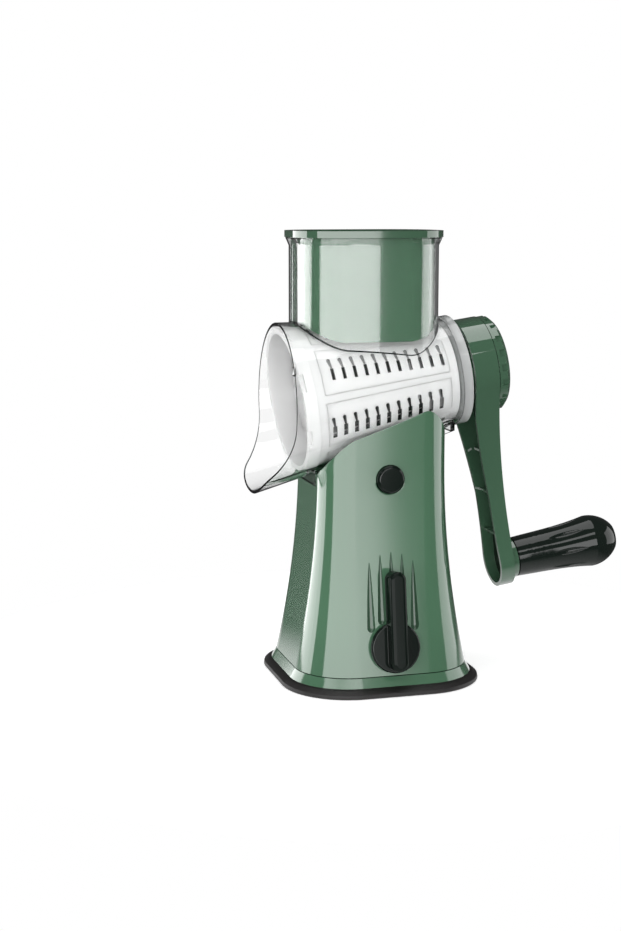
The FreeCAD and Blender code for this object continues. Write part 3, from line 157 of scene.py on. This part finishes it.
leverBlack = mouldedPlastic("leverBlack", {
    "colour": (0.006, 0.010, 0.008), "deep": (0.004, 0.008, 0.006), "cloudScale": 30, "grainScale": 1100,
    "roughness": 0.10, "bump": 0.02, "shine": 0.12})
# painted shade: a near black green for seams, gaps and hollows where shade falls
paintedShade = mouldedPlastic("paintedShade", {
    "colour": (0.016, 0.032, 0.020), "deep": (0.012, 0.026, 0.016), "cloudScale": 30, "grainScale": 900,
    "roughness": 0.60, "bump": 0.02, "shine": 0.1})
whiteSatin = mouldedPlastic("whiteSatin", {
    "colour": (0.77, 0.77, 0.77), "deep": (0.75, 0.75, 0.75), "cloudScale": 25, "grainScale": 1300,
    "roughness": 0.40, "bump": 0.05, "milky": 0.7})
# painted shade for the slots and the scoops of the drum's panels
paintedSlotShade = mouldedPlastic("paintedSlotShade", {
    "colour": (0.016, 0.018, 0.017), "deep": (0.012, 0.013, 0.013), "cloudScale": 40, "grainScale": 1300,
    "roughness": 0.55, "bump": 0.05})
paintedScoopShade = mouldedPlastic("paintedScoopShade", {
    "colour": (0.26, 0.26, 0.26), "deep": (0.22, 0.22, 0.22), "cloudScale": 40, "grainScale": 1300,
    "roughness": 0.45, "bump": 0.05})
darkRubber = mouldedPlastic("darkRubber", {
    "colour": (0.014, 0.012, 0.012), "deep": (0.010, 0.009, 0.009), "cloudScale": 60, "grainScale": 700,
    "roughness": 0.50, "bump": 0.35})


def shadedInside(name, finish):  # white at the mouth, and painted shade further in
    material, tree, shader = nodesOf(name)
    place = tree.nodes.new("ShaderNodeTexCoord")
    split = tree.nodes.new("ShaderNodeSeparateXYZ")
    tree.links.new(place.outputs["Object"], split.inputs["Vector"])
    depth = ramp(tree, split.outputs["X"], finish["lightTo"], finish["darkFrom"])
    tree.links.new(mixColours(tree, depth, finish["colour"], finish["deep"]), shader.inputs["Base Color"])
    grainySurface(tree, shader, finish)
    letLightIn(shader, finish)
    return material


paintedInsideShade = shadedInside("paintedInsideShade", {
    "colour": (0.96, 0.96, 0.96), "deep": (0.03, 0.033, 0.03), "lightTo": -26 * mm, "darkFrom": -14 * mm,
    "grainScale": 1300, "roughness": 0.45, "bump": 0.05, "milky": 0.7})


def turnedMetal(name, finish):
    material, tree, shader = nodesOf(name)
    lines = noiseOn(tree, finish["scale"], finish["detail"], finish["stretch"])
    tree.links.new(mixColours(tree, lines, finish["colour"], finish["deep"]), shader.inputs["Base Color"])
    rough = spread(tree, lines, finish["roughness"], finish["roughness"] + finish["uneven"])
    tree.links.new(rough, shader.inputs["Roughness"])
    addBump(tree, shader, lines, finish["bump"], grain["depth"])
    shader.inputs["Metallic"].default_value = 1.0
    return material


turned = {"scale": 400, "detail": 2.0, "stretch": (6, 1, 1), "roughness": 0.25, "uneven": 0.12, "bump": 0.2}
steel = turnedMetal("turnedSteel", {**turned, "colour": (0.62, 0.62, 0.61), "deep": (0.48, 0.48, 0.48)})
brass = turnedMetal("turnedBrass", {**turned, "colour": (0.70, 0.50, 0.20), "deep": (0.58, 0.40, 0.15)})


def clearPlastic(name, finish):  # glass that lets the lamps through to what it holds
    material, tree, shader = nodesOf(name)
    shader.inputs["Transmission Weight"].default_value = finish["clear"]
    shader.inputs["IOR"].default_value = finish["ior"]
    edge = tree.nodes.new("ShaderNodeLayerWeight")
    # painted shade where the clear plastic is seen edge on
    dim = ramp(tree, edge.outputs["Facing"], finish["edgeStart"], finish["edgeFull"])
    tree.links.new(mixColours(tree, dim, finish["tint"], finish["edgeShade"]), shader.inputs["Base Color"])
    ripple = noiseOn(tree, finish["rippleScale"])
    addBump(tree, shader, ripple, finish["ripple"], finish["rippleDepth"])
    tree.links.new(spread(tree, ripple, 0.0, finish["roughness"]), shader.inputs["Roughness"])
    murk = tree.nodes.new("ShaderNodeVolumeAbsorption")
    murk.inputs["Color"].default_value = (*finish["murk"], 1)
    murk.inputs["Density"].default_value = finish["murkDensity"]
    path = tree.nodes.new("ShaderNodeLightPath")
    clear = tree.nodes.new("ShaderNodeBsdfTransparent")
    clear.inputs["Color"].default_value = (*finish["lets"], 1)
    both = mixShaders(tree, path.outputs["Is Shadow Ray"], shader.outputs["BSDF"], clear.outputs["BSDF"])
    output = tree.nodes["Material Output"]
    tree.links.new(murk.outputs["Volume"], output.inputs["Volume"])
    tree.links.new(both, output.inputs["Surface"])
    return material


# tint colours what is seen through, lets colours the shadow, and edgeShade is painted shade on what is seen
# edge on
housingFinish = {
    "clear": 1.0, "tint": (0.995, 0.997, 0.996), "lets": (0.93, 0.94, 0.935), "ior": 1.46, "roughness": 0.025,
    "rippleScale": 40, "ripple": 0.02, "rippleDepth": 0.05 * mm, "murk": (0.42, 0.46, 0.44), "murkDensity": 8,
    "edgeStart": 0.74, "edgeFull": 0.92, "edgeShade": (0.03, 0.035, 0.035)}
# painted shade: the rim finish tints the clear plastic dark
rimFinish = {**housingFinish, "tint": (0.20, 0.22, 0.22), "edgeShade": (0.05, 0.06, 0.06)}
# painted light: the rear lip is half clear and pale, over the shade of the arm's head behind it
lipFinish = {**housingFinish, "clear": 0.60, "tint": (0.80, 0.81, 0.81)}
# painted shade: a near black tint for dark lines in the clear plastic
paintedDarkFinish = {**housingFinish, "tint": (0.05, 0.06, 0.06), "edgeShade": (0.02, 0.02, 0.02)}
clearHousing = clearPlastic("clearHousing", housingFinish)
clearRim = clearPlastic("clearRim", rimFinish)
paintedPaleLip = clearPlastic("paintedPaleLip", lipFinish)
clearPaintedDark = clearPlastic("clearPaintedDark", paintedDarkFinish)
print("materials made")


def steadyNormals(mesh, limit):  # large faces keep their own normal, and small ones bend to them
    bm = bmesh.new()
    bm.from_mesh(mesh)
    size = {face.index: face.calc_area() ** 2 for face in bm.faces}
    least = math.cos(math.radians(limit))
    normals = []
    for face in bm.faces:
        for corner in face.loops:
            total = Vector()
            for other in corner.vert.link_faces:
                if other.normal.dot(face.normal) > least:
                    total += other.normal * size[other.index]
            normals.append(total.normalized() if total.length else face.normal.copy())
    bm.free()
    mesh.normals_split_custom_set(normals)


def finishPiece(bm, node, body, slotName, *materials):
    mesh = bpy.data.meshes.new(f"{node}_skin")
    bm.to_mesh(mesh)
    bm.free()
    for face in mesh.polygons:
        face.use_smooth = True
    steadyNormals(mesh, making["sharp"])
    for material in materials:
        mesh.materials.append(material)
    piece = bpy.data.objects.new(f"{node}_skin", mesh)
    bpy.context.scene.collection.objects.link(piece)
    if node == "release_spring":  # the spring keeps its place and goes on no body
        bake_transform(piece)
    else:
        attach(piece, body)
    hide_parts(node)
    return piece


def roundEdges(bm, edges, width, segments=2, clamp=True):
    made = bmesh.ops.bevel(bm, geom=edges, affect="EDGES", offset=width, offset_type="OFFSET",
                           segments=segments, profile=0.5, material=-1, clamp_overlap=clamp)
    return made["faces"]


def mergedCopy(node):  # a node's triangles, joined and with its flat faces whole
    bm = bmesh.new()
    bm.from_mesh(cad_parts[node].data)
    bmesh.ops.remove_doubles(bm, verts=bm.verts, dist=making["join"])
    bmesh.ops.dissolve_limit(bm, angle_limit=math.radians(making["flatten"]), verts=bm.verts, edges=bm.edges)
    return bm


def sharpEdges(bm):
    return [line for line in bm.edges
            if len(line.link_faces) == 2 and line.calc_face_angle() > math.radians(making["sharp"])]


def dressNode(node, body, material, slotName, edge):
    bm = mergedCopy(node)
    rounded = roundEdges(bm, sharpEdges(bm), edge) if edge else []
    if material != leverBlack:
        return finishPiece(bm, node, body, slotName, material)
    for face in rounded:
        face.material_index = 1
    return finishPiece(bm, node, body, slotName, material, blackGloss)


# each node's body, finish, slot and the width of its rounded edges
dressed = {
    "bottom_cover": ("base", greenSatin, "green_body", 0.4 * mm),
    "foot_gasket": ("base", darkRubber, "rubber", 0.4 * mm),
    "base_screws": ("base", steel, "steel", 0),
    "suction_cup": ("cup", darkRubber, "rubber", 0),
    "suction_plunger": ("cup", whiteSatin, "white_plastic", 0),
    "suction_lever": ("lever", leverBlack, "black_plastic", 0.5 * mm),
    "cam_shaft": ("lever", steel, "steel", 0),
    "shaft_clip": ("lever", steel, "steel", 0),
    "release_button": ("button", leverBlack, "black_plastic", 0.3 * mm),
    "release_latch": ("button", blackGloss, "black_plastic", 0),
    "release_spring": ("button", steel, "steel", 0),
    "bearing_bush": ("base", whiteSatin, "white_plastic", 0.2 * mm),
    "drum_frame": ("rotor", whiteSatin, "white_plastic", 0.3 * mm),
    "drum_nut": ("rotor", brass, "brass", 0),
    "crank_arm": ("rotor", greenGloss, "green_body", 0.5 * mm),
    "crank_knob": ("rotor", greenGloss, "green_body", 0.45 * mm),
    # the knob's seal gets painted shade, for the dark gap between the knob and the arm
    "knob_seal": ("rotor", paintedShade, "white_plastic", 0),
    "clamp_bolt": ("rotor", steel, "steel", 0.2 * mm),
    "crank_grip": ("grip", blackGloss, "black_plastic", 0),
    "grip_end_cap": ("grip", blackGloss, "black_plastic", 0),
    "grip_axle": ("rotor", steel, "steel", 0),
    "grip_washer": ("rotor", steel, "steel", 0),
    "food_pusher": ("pusher", greenGloss, "green_body", 0.5 * mm),
}
panelNumbers = range(1, 9)
for number in panelNumbers:
    dressed[f"blade_panel_{number}"] = ("rotor", whiteSatin, "white_plastic", 0)
skins = {node: dressNode(node, *rest) for node, rest in dressed.items()}

base = {"half": 42.1 * mm, "core": 22.1 * mm, "flareTop": 145 * mm, "flareRadius": 603 * mm,
        "near": 0.15 * mm, "rimFrom": 100 * mm, "rimFacing": 0.3, "rimRound": 0.9 * mm, "rimSegments": 3,
        "seam": 12 * mm, "seamRound": 0.35 * mm, "seamDepth": 1.0 * mm}
flutes = {"count": 5, "pitch": 7.25 * mm, "radius": 2.7 * mm, "tip": 0.02 * mm, "length": 41 * mm,
          "foot": 48 * mm, "drop": 1.5 * mm, "lift": 0.3 * mm, "taper": 0.6, "least": 0.002,
          "low": 38 * mm, "high": 92 * mm, "side": 19 * mm, "skim": 0.25 * mm,
          "sides": 32, "ballRings": 16, "rings": 24}


def baseHalf(height):
    fall = max(base["flareTop"] - height, 0)
    return base["half"] + base["flareRadius"] - math.sqrt(base["flareRadius"] ** 2 - fall ** 2)


def offBase(point):  # how far a point stands off the base's outer face
    across = Vector((max(abs(point.x) - base["core"], 0), max(abs(point.y) - base["core"], 0)))
    return across.length - (baseHalf(point.z) - base["core"])


def onSkin(line, low, high):  # whether an edge lies on the base's outer face, between two heights
    return all(abs(offBase(end.co)) < base["near"] and low < end.co.z < high for end in line.verts)


def footOf(step):  # the middle flute starts highest
    return flutes["foot"] - flutes["drop"] * step ** 2


def fluteCutters():  # five tapered rods that follow the flare, and a ball at the foot of each
    rods, balls = bmesh.new(), bmesh.new()
    for number in range(flutes["count"]):
        step = number - (flutes["count"] - 1) / 2
        foot = footOf(step)
        rod = bmesh.ops.create_cone(rods, segments=flutes["sides"], radius1=flutes["radius"],
                                    radius2=flutes["tip"], depth=flutes["length"], cap_ends=True)["verts"]
        bmesh.ops.translate(rods, verts=rod, vec=(step * flutes["pitch"], 0, foot + flutes["length"] / 2))
        ball = bmesh.ops.create_uvsphere(balls, u_segments=flutes["sides"], v_segments=flutes["ballRings"],
                                         radius=flutes["radius"])["verts"]
        outside = -baseHalf(foot) - flutes["lift"]
        bmesh.ops.translate(balls, verts=ball, vec=(step * flutes["pitch"], outside, foot))
    sides = [line for line in rods.edges if line.calc_length() > flutes["length"] / 2]
    bmesh.ops.subdivide_edges(rods, edges=sides, cuts=flutes["rings"], use_grid_fill=True)
    for vert in rods.verts:
        step = round(vert.co.x / flutes["pitch"])
        share = max(1 - (vert.co.z - footOf(step)) / flutes["length"], flutes["least"])
        fuller = share ** (flutes["taper"] - 1)
        vert.co.x = step * flutes["pitch"] + (vert.co.x - step * flutes["pitch"]) * fuller
        vert.co.y = vert.co.y * fuller - baseHalf(vert.co.z) - flutes["lift"] * share
    return rods, balls


def inFlute(spot):
    beside = flutes["low"] < spot.z < flutes["high"] and spot.y < 0 and abs(spot.x) < flutes["side"]
    return beside and -flutes["radius"] < offBase(spot) < -flutes["skim"]


def cutAway(mesh, cutter):  # the mesh less what the cutter covers
    tool = bpy.data.meshes.new("cutter")
    cutter.to_mesh(tool)
    cutter.free()
    block = bpy.data.objects.new("cutter", tool)
    work = bpy.data.objects.new("work", mesh)
    for piece in (block, work):
        bpy.context.scene.collection.objects.link(piece)
    cut = work.modifiers.new("cut", "BOOLEAN")
    cut.operation = "DIFFERENCE"
    cut.solver = "EXACT"
    cut.object = block
    made = bpy.data.meshes.new_from_object(work.evaluated_get(bpy.context.evaluated_depsgraph_get()))
    for piece in (block, work):
        bpy.data.objects.remove(piece)
    return made


def dressBase():
    bm = mergedCopy("base_shell")
    rim = [line for line in sharpEdges(bm) if onSkin(line, base["rimFrom"], math.inf)
           and max(face.normal.z for face in line.link_faces) > base["rimFacing"]]
    roundEdges(bm, rim, base["rimRound"], base["rimSegments"], clamp=False)
    mesh = bpy.data.meshes.new("baseShell")
    bm.to_mesh(mesh)
    bm.free()
    for cutter in fluteCutters():
        mesh = cutAway(mesh, cutter)
    bm = bmesh.new()
    bm.from_mesh(mesh)
    foot = [line for line in sharpEdges(bm) if onSkin(line, -math.inf, base["seam"])]
    for face in roundEdges(bm, foot, base["seamRound"], segments=1, clamp=False):
        face.material_index = 1  # paintedShade: painted shade along the seam at the foot
    # the faces inside the flutes get painted shade
    for face in bm.faces:
        if inFlute(face.calc_center_median()):
            face.material_index = 2  # paintedFluteShade: painted shade in the flutes
    print("base cut, rim edges", len(rim), "foot edges", len(foot), "faces", len(bm.faces))
    return finishPiece(bm, "base_shell", "base", "green_body", greenSatin, paintedShade, paintedFluteShade)


def shadeSeam():  # the tray's top edge gets painted shade, for the shade of the seam
    mesh = skins["bottom_cover"].data
    mesh.materials.append(paintedShade)
    for face in mesh.polygons:
        if face.center.z > base["seam"] - base["seamDepth"] and offBase(face.center) > -base["seamDepth"]:
            face.material_index = 1


skins["base_shell"] = dressBase()
shadeSeam()
print("pieces dressed", len(skins))

# lengths run along the axis from the drum's middle, and angles are in degrees round it
drum = {"axis": Vector((0.989016, 0, 0.147809)), "middle": Vector((0, 0, 190.7 * mm)), "phase": 26.2,
        "step": 45, "halfAngle": 18.4, "panelFront": -42.3 * mm, "panelRear": 43.1 * mm,
        "front": -48.8 * mm, "frontRadius": 45.6 * mm, "slope": -14.4 / 98.3}
tones = {"inside": -0.5, "wall": 0.3, "outside": 0.9, "hood": -0.25 * mm, "bandLow": -0.6 * mm,
         "bandHigh": -0.08 * mm}
arm = {"floorFrom": 72 * mm, "facing": -0.5}


def onDrum(face, turn):  # along and round the drum, above its cone, and how far the face looks outwards
    offset = face.center - drum["middle"]
    along = offset.dot(drum["axis"])
    out = offset - drum["axis"] * along
    cone = drum["frontRadius"] + (along - drum["front"]) * drum["slope"]
    toSide = drum["axis"].cross(Vector((0, -1, 0)))
    angle = math.degrees(math.atan2(out.dot(-toSide), -out.y)) - turn
    angle = (angle + 180) % 360 - 180
    return along, angle, out.length - cone, face.normal.dot(out.normalized())


def shadePanel(number):  # painted shade: slot walls near black, the blind scoops of odd panels in a lighter painted shade, and the open scoops of even panels as dark as the slots
    mesh = skins[f"blade_panel_{number}"].data
    for material in (paintedSlotShade, paintedScoopShade, paintedInsideShade):
        mesh.materials.append(material)
    tone = 1 if number % 2 == 0 else 2
    turn = drum["phase"] - drum["step"] * (number - 1)
    for face in mesh.polygons:
        along, angle, above, outwards = onDrum(face, turn)
        inField = drum["panelFront"] < along < drum["panelRear"] and abs(angle) < drum["halfAngle"]
        if outwards < tones["inside"]:
            face.material_index = 3  # paintedInsideShade: the inner faces, with painted shade deeper in
        elif inField and abs(outwards) < tones["wall"]:
            face.material_index = tone if above > tones["hood"] else 1
        elif inField and tones["bandLow"] < above < tones["bandHigh"] and outwards > tones["outside"]:
            face.material_index = tone


def shadeFrame():
    # the frame's inner faces get the painted shade of the drum's inside
    mesh = skins["drum_frame"].data
    mesh.materials.append(paintedInsideShade)
    for face in mesh.polygons:
        along, angle, above, outwards = onDrum(face, 0)
        if outwards < tones["inside"] and drum["panelFront"] < along < drum["panelRear"]:
            face.material_index = 1


def shadeArm():  # the floor of the arm's hollow gets painted shade
    mesh = skins["crank_arm"].data
    mesh.materials.append(paintedShade)
    for face in mesh.polygons:
        along = (face.center - drum["middle"]).dot(drum["axis"])
        if along > arm["floorFrom"] and face.normal.dot(drum["axis"]) < arm["facing"]:
            face.material_index = 1


def smoothPatch(mesh, starts, limit):  # the faces joined to the first ones without a sharp edge
    bm = bmesh.new()
    bm.from_mesh(mesh)
    bm.faces.ensure_lookup_table()
    found = {face.index for face in bm.faces if starts(face)}
    waiting = list(found)
    while waiting:
        face = bm.faces[waiting.pop()]
        for edge in face.edges:
            if len(edge.link_faces) == 2 and edge.calc_face_angle() < limit:
                other = edge.link_faces[0] if edge.link_faces[1] == face else edge.link_faces[1]
                if other.index not in found:
                    found.add(other.index)
                    waiting.append(other.index)
    bm.free()
    return found


housing = {"mouth": -62.5 * mm, "mouthFacing": -0.95, "top": 0.5 * mm, "topFacing": 0.9, "edge": 0.5 * mm,
           "limit": math.radians(20), "rear": 44 * mm, "lipTop": 160 * mm, "lip": 51 * mm}
bead = {"low": 205 * mm, "high": 240 * mm, "radius": 0.68 * mm, "end": 0.40, "rounding": 4}


def inCorner(point):
    return bead["low"] < point.z < bead["high"] and point.x < housing["rear"]


def joinLine(bm):  # the corner where the hopper meets the barrel, as one line of points
    lines = [line for line in bm.edges if len(line.link_faces) == 2 and not line.is_convex
             and line.calc_face_angle() > housing["limit"] and all(inCorner(end.co) for end in line.verts)]
    waiting = set(lines)
    line = lines[0]
    end = line.verts[0]
    points = []
    while line:
        waiting.discard(line)
        points.append(end.co.copy())
        end = line.other_vert(end)
        line = next((other for other in end.link_edges if other in waiting), None)
    return points


def joinBead(points):  # a bead of clear plastic along the corner, thinner towards the crank, which is painted near black as a line of shade
    curve = bpy.data.curves.new("bead", "CURVE")
    curve.dimensions = "3D"
    curve.bevel_depth = bead["radius"]
    curve.bevel_resolution = bead["rounding"]
    low, high = min(point.x for point in points), max(point.x for point in points)
    line = curve.splines.new("POLY")
    line.points.add(len(points) - 1)
    line.use_cyclic_u = True
    for spot, point in zip(line.points, points):
        spot.co = (*point, 1)
        spot.radius = 1 + (bead["end"] - 1) * (point.x - low) / (high - low)
    block = bpy.data.objects.new("bead", curve)
    bpy.context.scene.collection.objects.link(block)
    mesh = bpy.data.meshes.new_from_object(block.evaluated_get(bpy.context.evaluated_depsgraph_get()))
    bpy.data.objects.remove(block)
    return mesh


def dressHousing():  # the rounded edges and the rims of clear plastic are painted dark, for the shade their edges show
    bm = mergedCopy("feed_housing")
    points = joinLine(bm)
    for face in roundEdges(bm, sharpEdges(bm), housing["edge"]):
        face.material_index = 1  # clearRim, painted dark
    walls = set(bm.faces)
    bm.from_mesh(joinBead(points))
    for face in bm.faces:
        if face not in walls:
            face.material_index = 2  # clearPaintedDark: the bead is painted near black, a dark line in the corner
    piece = finishPiece(bm, "feed_housing", "base", "clear_plastic", clearHousing, clearRim, clearPaintedDark,
                        paintedPaleLip)
    mesh = piece.data
    for face in mesh.polygons:
        if onDrum(face, 0)[0] > housing["lip"] and face.material_index == 0:
            face.material_index = 3  # paintedPaleLip, painted light over the shade behind the lip
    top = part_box("feed_housing")[1][2] - housing["top"]
    rim = smoothPatch(mesh, lambda face: face.calc_center_median().x < housing["mouth"]
                      and face.normal.x < housing["mouthFacing"], housing["limit"])
    rim |= smoothPatch(mesh, lambda face: face.calc_center_median().z > top
                       and face.normal.z > housing["topFacing"], housing["limit"])
    # painted shade: the lower mouth rim near black, the other rims dark
    for index in rim:
        low = mesh.polygons[index].center.z < housing["lipTop"]
        mesh.polygons[index].material_index = 2 if low else 1
    print("housing rounded, rim faces", len(rim), "bead points", len(points))
    return piece


skins["feed_housing"] = dressHousing()
for number in panelNumbers:
    shadePanel(number)
shadeFrame()
shadeArm()
print("tones set")

noBounce = 0.5  # a count of bounces under this is none


def mathNode(tree, operation, first, second):
    node = tree.nodes.new("ShaderNodeMath")
    node.operation = operation
    for socket, value in zip(node.inputs, (first, second)):
        if isinstance(value, (int, float)):
            socket.default_value = value
        else:
            tree.links.new(value, socket)
    return node.outputs["Value"]


def inGloss(tree, path):  # clear plastic marks what it lets through as glossy too, so that comes off
    return mathNode(tree, "SUBTRACT", path.outputs["Is Glossy Ray"], path.outputs["Is Transmission Ray"])


def seenClear(tree):  # 1 for what the camera, gloss or clear plastic shows, 0 for light on the tool
    path = tree.nodes.new("ShaderNodeLightPath")
    sharp = mathNode(tree, "LESS_THAN", path.outputs["Diffuse Depth"], noBounce)
    direct = mathNode(tree, "LESS_THAN", path.outputs["Glossy Depth"], noBounce)
    through = mathNode(tree, "MULTIPLY", path.outputs["Is Transmission Ray"], direct)
    clear = mathNode(tree, "MAXIMUM", path.outputs["Is Camera Ray"], through)
    shown = mathNode(tree, "MAXIMUM", clear, inGloss(tree, path))
    return mathNode(tree, "MULTIPLY", shown, sharp)


def stagePiece(bm, name, material):
    mesh = bpy.data.meshes.new(name)
    bm.to_mesh(mesh)
    bm.free()
    mesh.materials.append(material)
    piece = bpy.data.objects.new(name, mesh)
    bpy.context.scene.collection.objects.link(piece)
    return piece


table = {"radius": 0.30, "sides": 96, "colour": (0.80, 0.80, 0.80), "lighter": 1.02, "cloudScale": 3,
         "roughness": 0.7, "glow": 0.62, "drop": 0.2 * mm, "fadeFrom": 0.10, "fadeTo": 0.27}
room = {"radius": 4.0, "sides": 64, "low": -1.6, "high": 3.6, "glow": 0.07, "cloudScale": 1.5, "least": 0.9,
        "most": 1.1, "paleGlow": 0.14}


def paleTable():
    bm = bmesh.new()
    bmesh.ops.create_circle(bm, cap_ends=True, segments=table["sides"], radius=table["radius"])
    bmesh.ops.translate(bm, verts=bm.verts, vec=(0, 0, -table["drop"]))
    material, tree, shader = nodesOf("paleTable")
    shader.inputs["Roughness"].default_value = table["roughness"]
    lighter = [part * table["lighter"] for part in table["colour"]]
    tone = mixColours(tree, noiseOn(tree, table["cloudScale"]), table["colour"], lighter)
    tree.links.new(tone, shader.inputs["Base Color"])
    glow = tree.nodes.new("ShaderNodeEmission")
    glow.inputs["Strength"].default_value = table["glow"]
    both = tree.nodes.new("ShaderNodeAddShader")
    tree.links.new(shader.outputs["BSDF"], both.inputs[0])
    tree.links.new(glow.outputs["Emission"], both.inputs[1])
    seen = mixShaders(tree, seenClear(tree), shader.outputs["BSDF"], both.outputs["Shader"])
    place = tree.nodes.new("ShaderNodeTexCoord")  # in gloss the table runs out into the dark room
    reach = tree.nodes.new("ShaderNodeVectorMath")
    reach.operation = "LENGTH"
    tree.links.new(place.outputs["Object"], reach.inputs[0])
    fade = ramp(tree, reach.outputs["Value"], table["fadeFrom"], table["fadeTo"], 1.0, room["glow"])
    gleam = tree.nodes.new("ShaderNodeEmission")
    tree.links.new(fade, gleam.inputs["Strength"])
    path = tree.nodes.new("ShaderNodeLightPath")
    surface = mixShaders(tree, inGloss(tree, path), seen, gleam.outputs["Emission"])
    tree.links.new(surface, tree.nodes["Material Output"].inputs["Surface"])
    stagePiece(bm, "paleTable", material)


def darkRoom():  # what gloss shows between the lamps
    bm = bmesh.new()
    ring = bmesh.ops.create_circle(bm, segments=room["sides"], radius=room["radius"])["verts"]
    bmesh.ops.translate(bm, verts=ring, vec=(0, 0, room["low"]))
    walls = bmesh.ops.extrude_edge_only(bm, edges=bm.edges[:])["geom"]
    top = [part for part in walls if isinstance(part, bmesh.types.BMVert)]
    bmesh.ops.translate(bm, verts=top, vec=(0, 0, room["high"] - room["low"]))
    bmesh.ops.holes_fill(bm, edges=bm.edges[:], sides=0)
    material, tree, shader = nodesOf("darkRoom")
    glow = tree.nodes.new("ShaderNodeEmission")
    cloud = noiseOn(tree, room["cloudScale"])
    strength = spread(tree, cloud, room["glow"] * room["least"], room["glow"] * room["most"])
    tree.links.new(strength, glow.inputs["Strength"])
    tree.links.new(glow.outputs["Emission"], tree.nodes["Material Output"].inputs["Surface"])
    piece = stagePiece(bm, "darkRoom", material)
    piece.visible_camera = False
    piece.visible_diffuse = False
    piece.visible_transmission = False
    piece.visible_shadow = False
    piece.visible_volume_scatter = False


def paleWorld():
    world = bpy.data.worlds.new("paleRoom")
    bpy.context.scene.world = world
    world.use_nodes = True
    tree = world.node_tree
    background = tree.nodes["Background"]
    background.inputs["Color"].default_value = (1, 1, 1, 1)
    strength = spread(tree, seenClear(tree), room["paleGlow"], 1.0)
    tree.links.new(strength, background.inputs["Strength"])


# each box stands round the tool: its middle's bearing from the front towards the crank, in degrees
softBoxes = {
    "frontBox": {"bearing": -24.65, "away": 2.0, "width": 3.60, "low": -0.35, "high": 0.75, "glow": 3.3},
    "crankBox": {"bearing": 84, "away": 2.0, "width": 1.6, "low": -0.3, "high": 1.2, "glow": 1.8},
    "spoutBox": {"bearing": -126.5, "away": 2.0, "width": 2.36, "low": -0.3, "high": 0.8, "glow": 3.4},
}
trayBox = {"bearing": -24.65, "away": 1.40, "height": 1.45, "width": 2.6, "depth": 0.34, "glow": 3.0}
topBox = {"height": 1.7, "forward": 0.001, "side": 1.3, "glow": 2.0}


def areaLamp(name, place, target, width, height, glow):
    data = bpy.data.lights.new(name, "AREA")
    data.shape = "RECTANGLE"
    data.size = width
    data.size_y = height
    data.energy = glow * math.pi * width * height
    lamp = bpy.data.objects.new(name, data)
    lamp.location = place
    lamp.rotation_euler = (Vector(target) - Vector(place)).to_track_quat("-Z", "Y").to_euler()
    bpy.context.scene.collection.objects.link(lamp)
    data.use_nodes = True  # clear plastic lets light in once, through its shadow, and not a second time
    tree = data.node_tree
    path = tree.nodes.new("ShaderNodeLightPath")
    scattered = mathNode(tree, "GREATER_THAN", path.outputs["Diffuse Depth"], noBounce)
    twice = mathNode(tree, "MULTIPLY", path.outputs["Is Transmission Ray"], scattered)
    tree.links.new(mathNode(tree, "SUBTRACT", 1, twice), tree.nodes["Emission"].inputs["Strength"])


def placeRound(box, height):
    bearing = math.radians(box["bearing"])
    return Vector((math.sin(bearing), -math.cos(bearing), 0)) * box["away"] + Vector((0, 0, height))


def placeLamps():
    for name, box in softBoxes.items():
        middle = (box["low"] + box["high"]) / 2
        areaLamp(name, placeRound(box, middle), (0, 0, middle), box["width"], box["high"] - box["low"],
                 box["glow"])
    areaLamp("trayBox", placeRound(trayBox, trayBox["height"]), (0, 0, 0), trayBox["width"], trayBox["depth"],
             trayBox["glow"])
    areaLamp("topBox", (0, -topBox["forward"], topBox["height"]), (0, 0, 0), topBox["side"], topBox["side"],
             topBox["glow"])


view = {"place": (-0.3158, -1.0113, 0.3072), "turn": 15.23, "dip": 9.10, "lens": 63.406, "film": 36.0}


def placeCamera():
    data = bpy.data.cameras.new("camera")
    data.sensor_fit = "VERTICAL"
    data.sensor_height = view["film"]
    data.lens = view["lens"]
    camera = bpy.data.objects.new("camera", data)
    camera.location = view["place"]
    camera.rotation_euler = (math.radians(90 - view["dip"]), 0, math.radians(-view["turn"]))
    bpy.context.scene.collection.objects.link(camera)
    bpy.context.scene.camera = camera


paleTable()
darkRoom()
paleWorld()
placeLamps()
placeCamera()
bpy.context.scene.view_settings.view_transform = "Standard"
print("stage set")
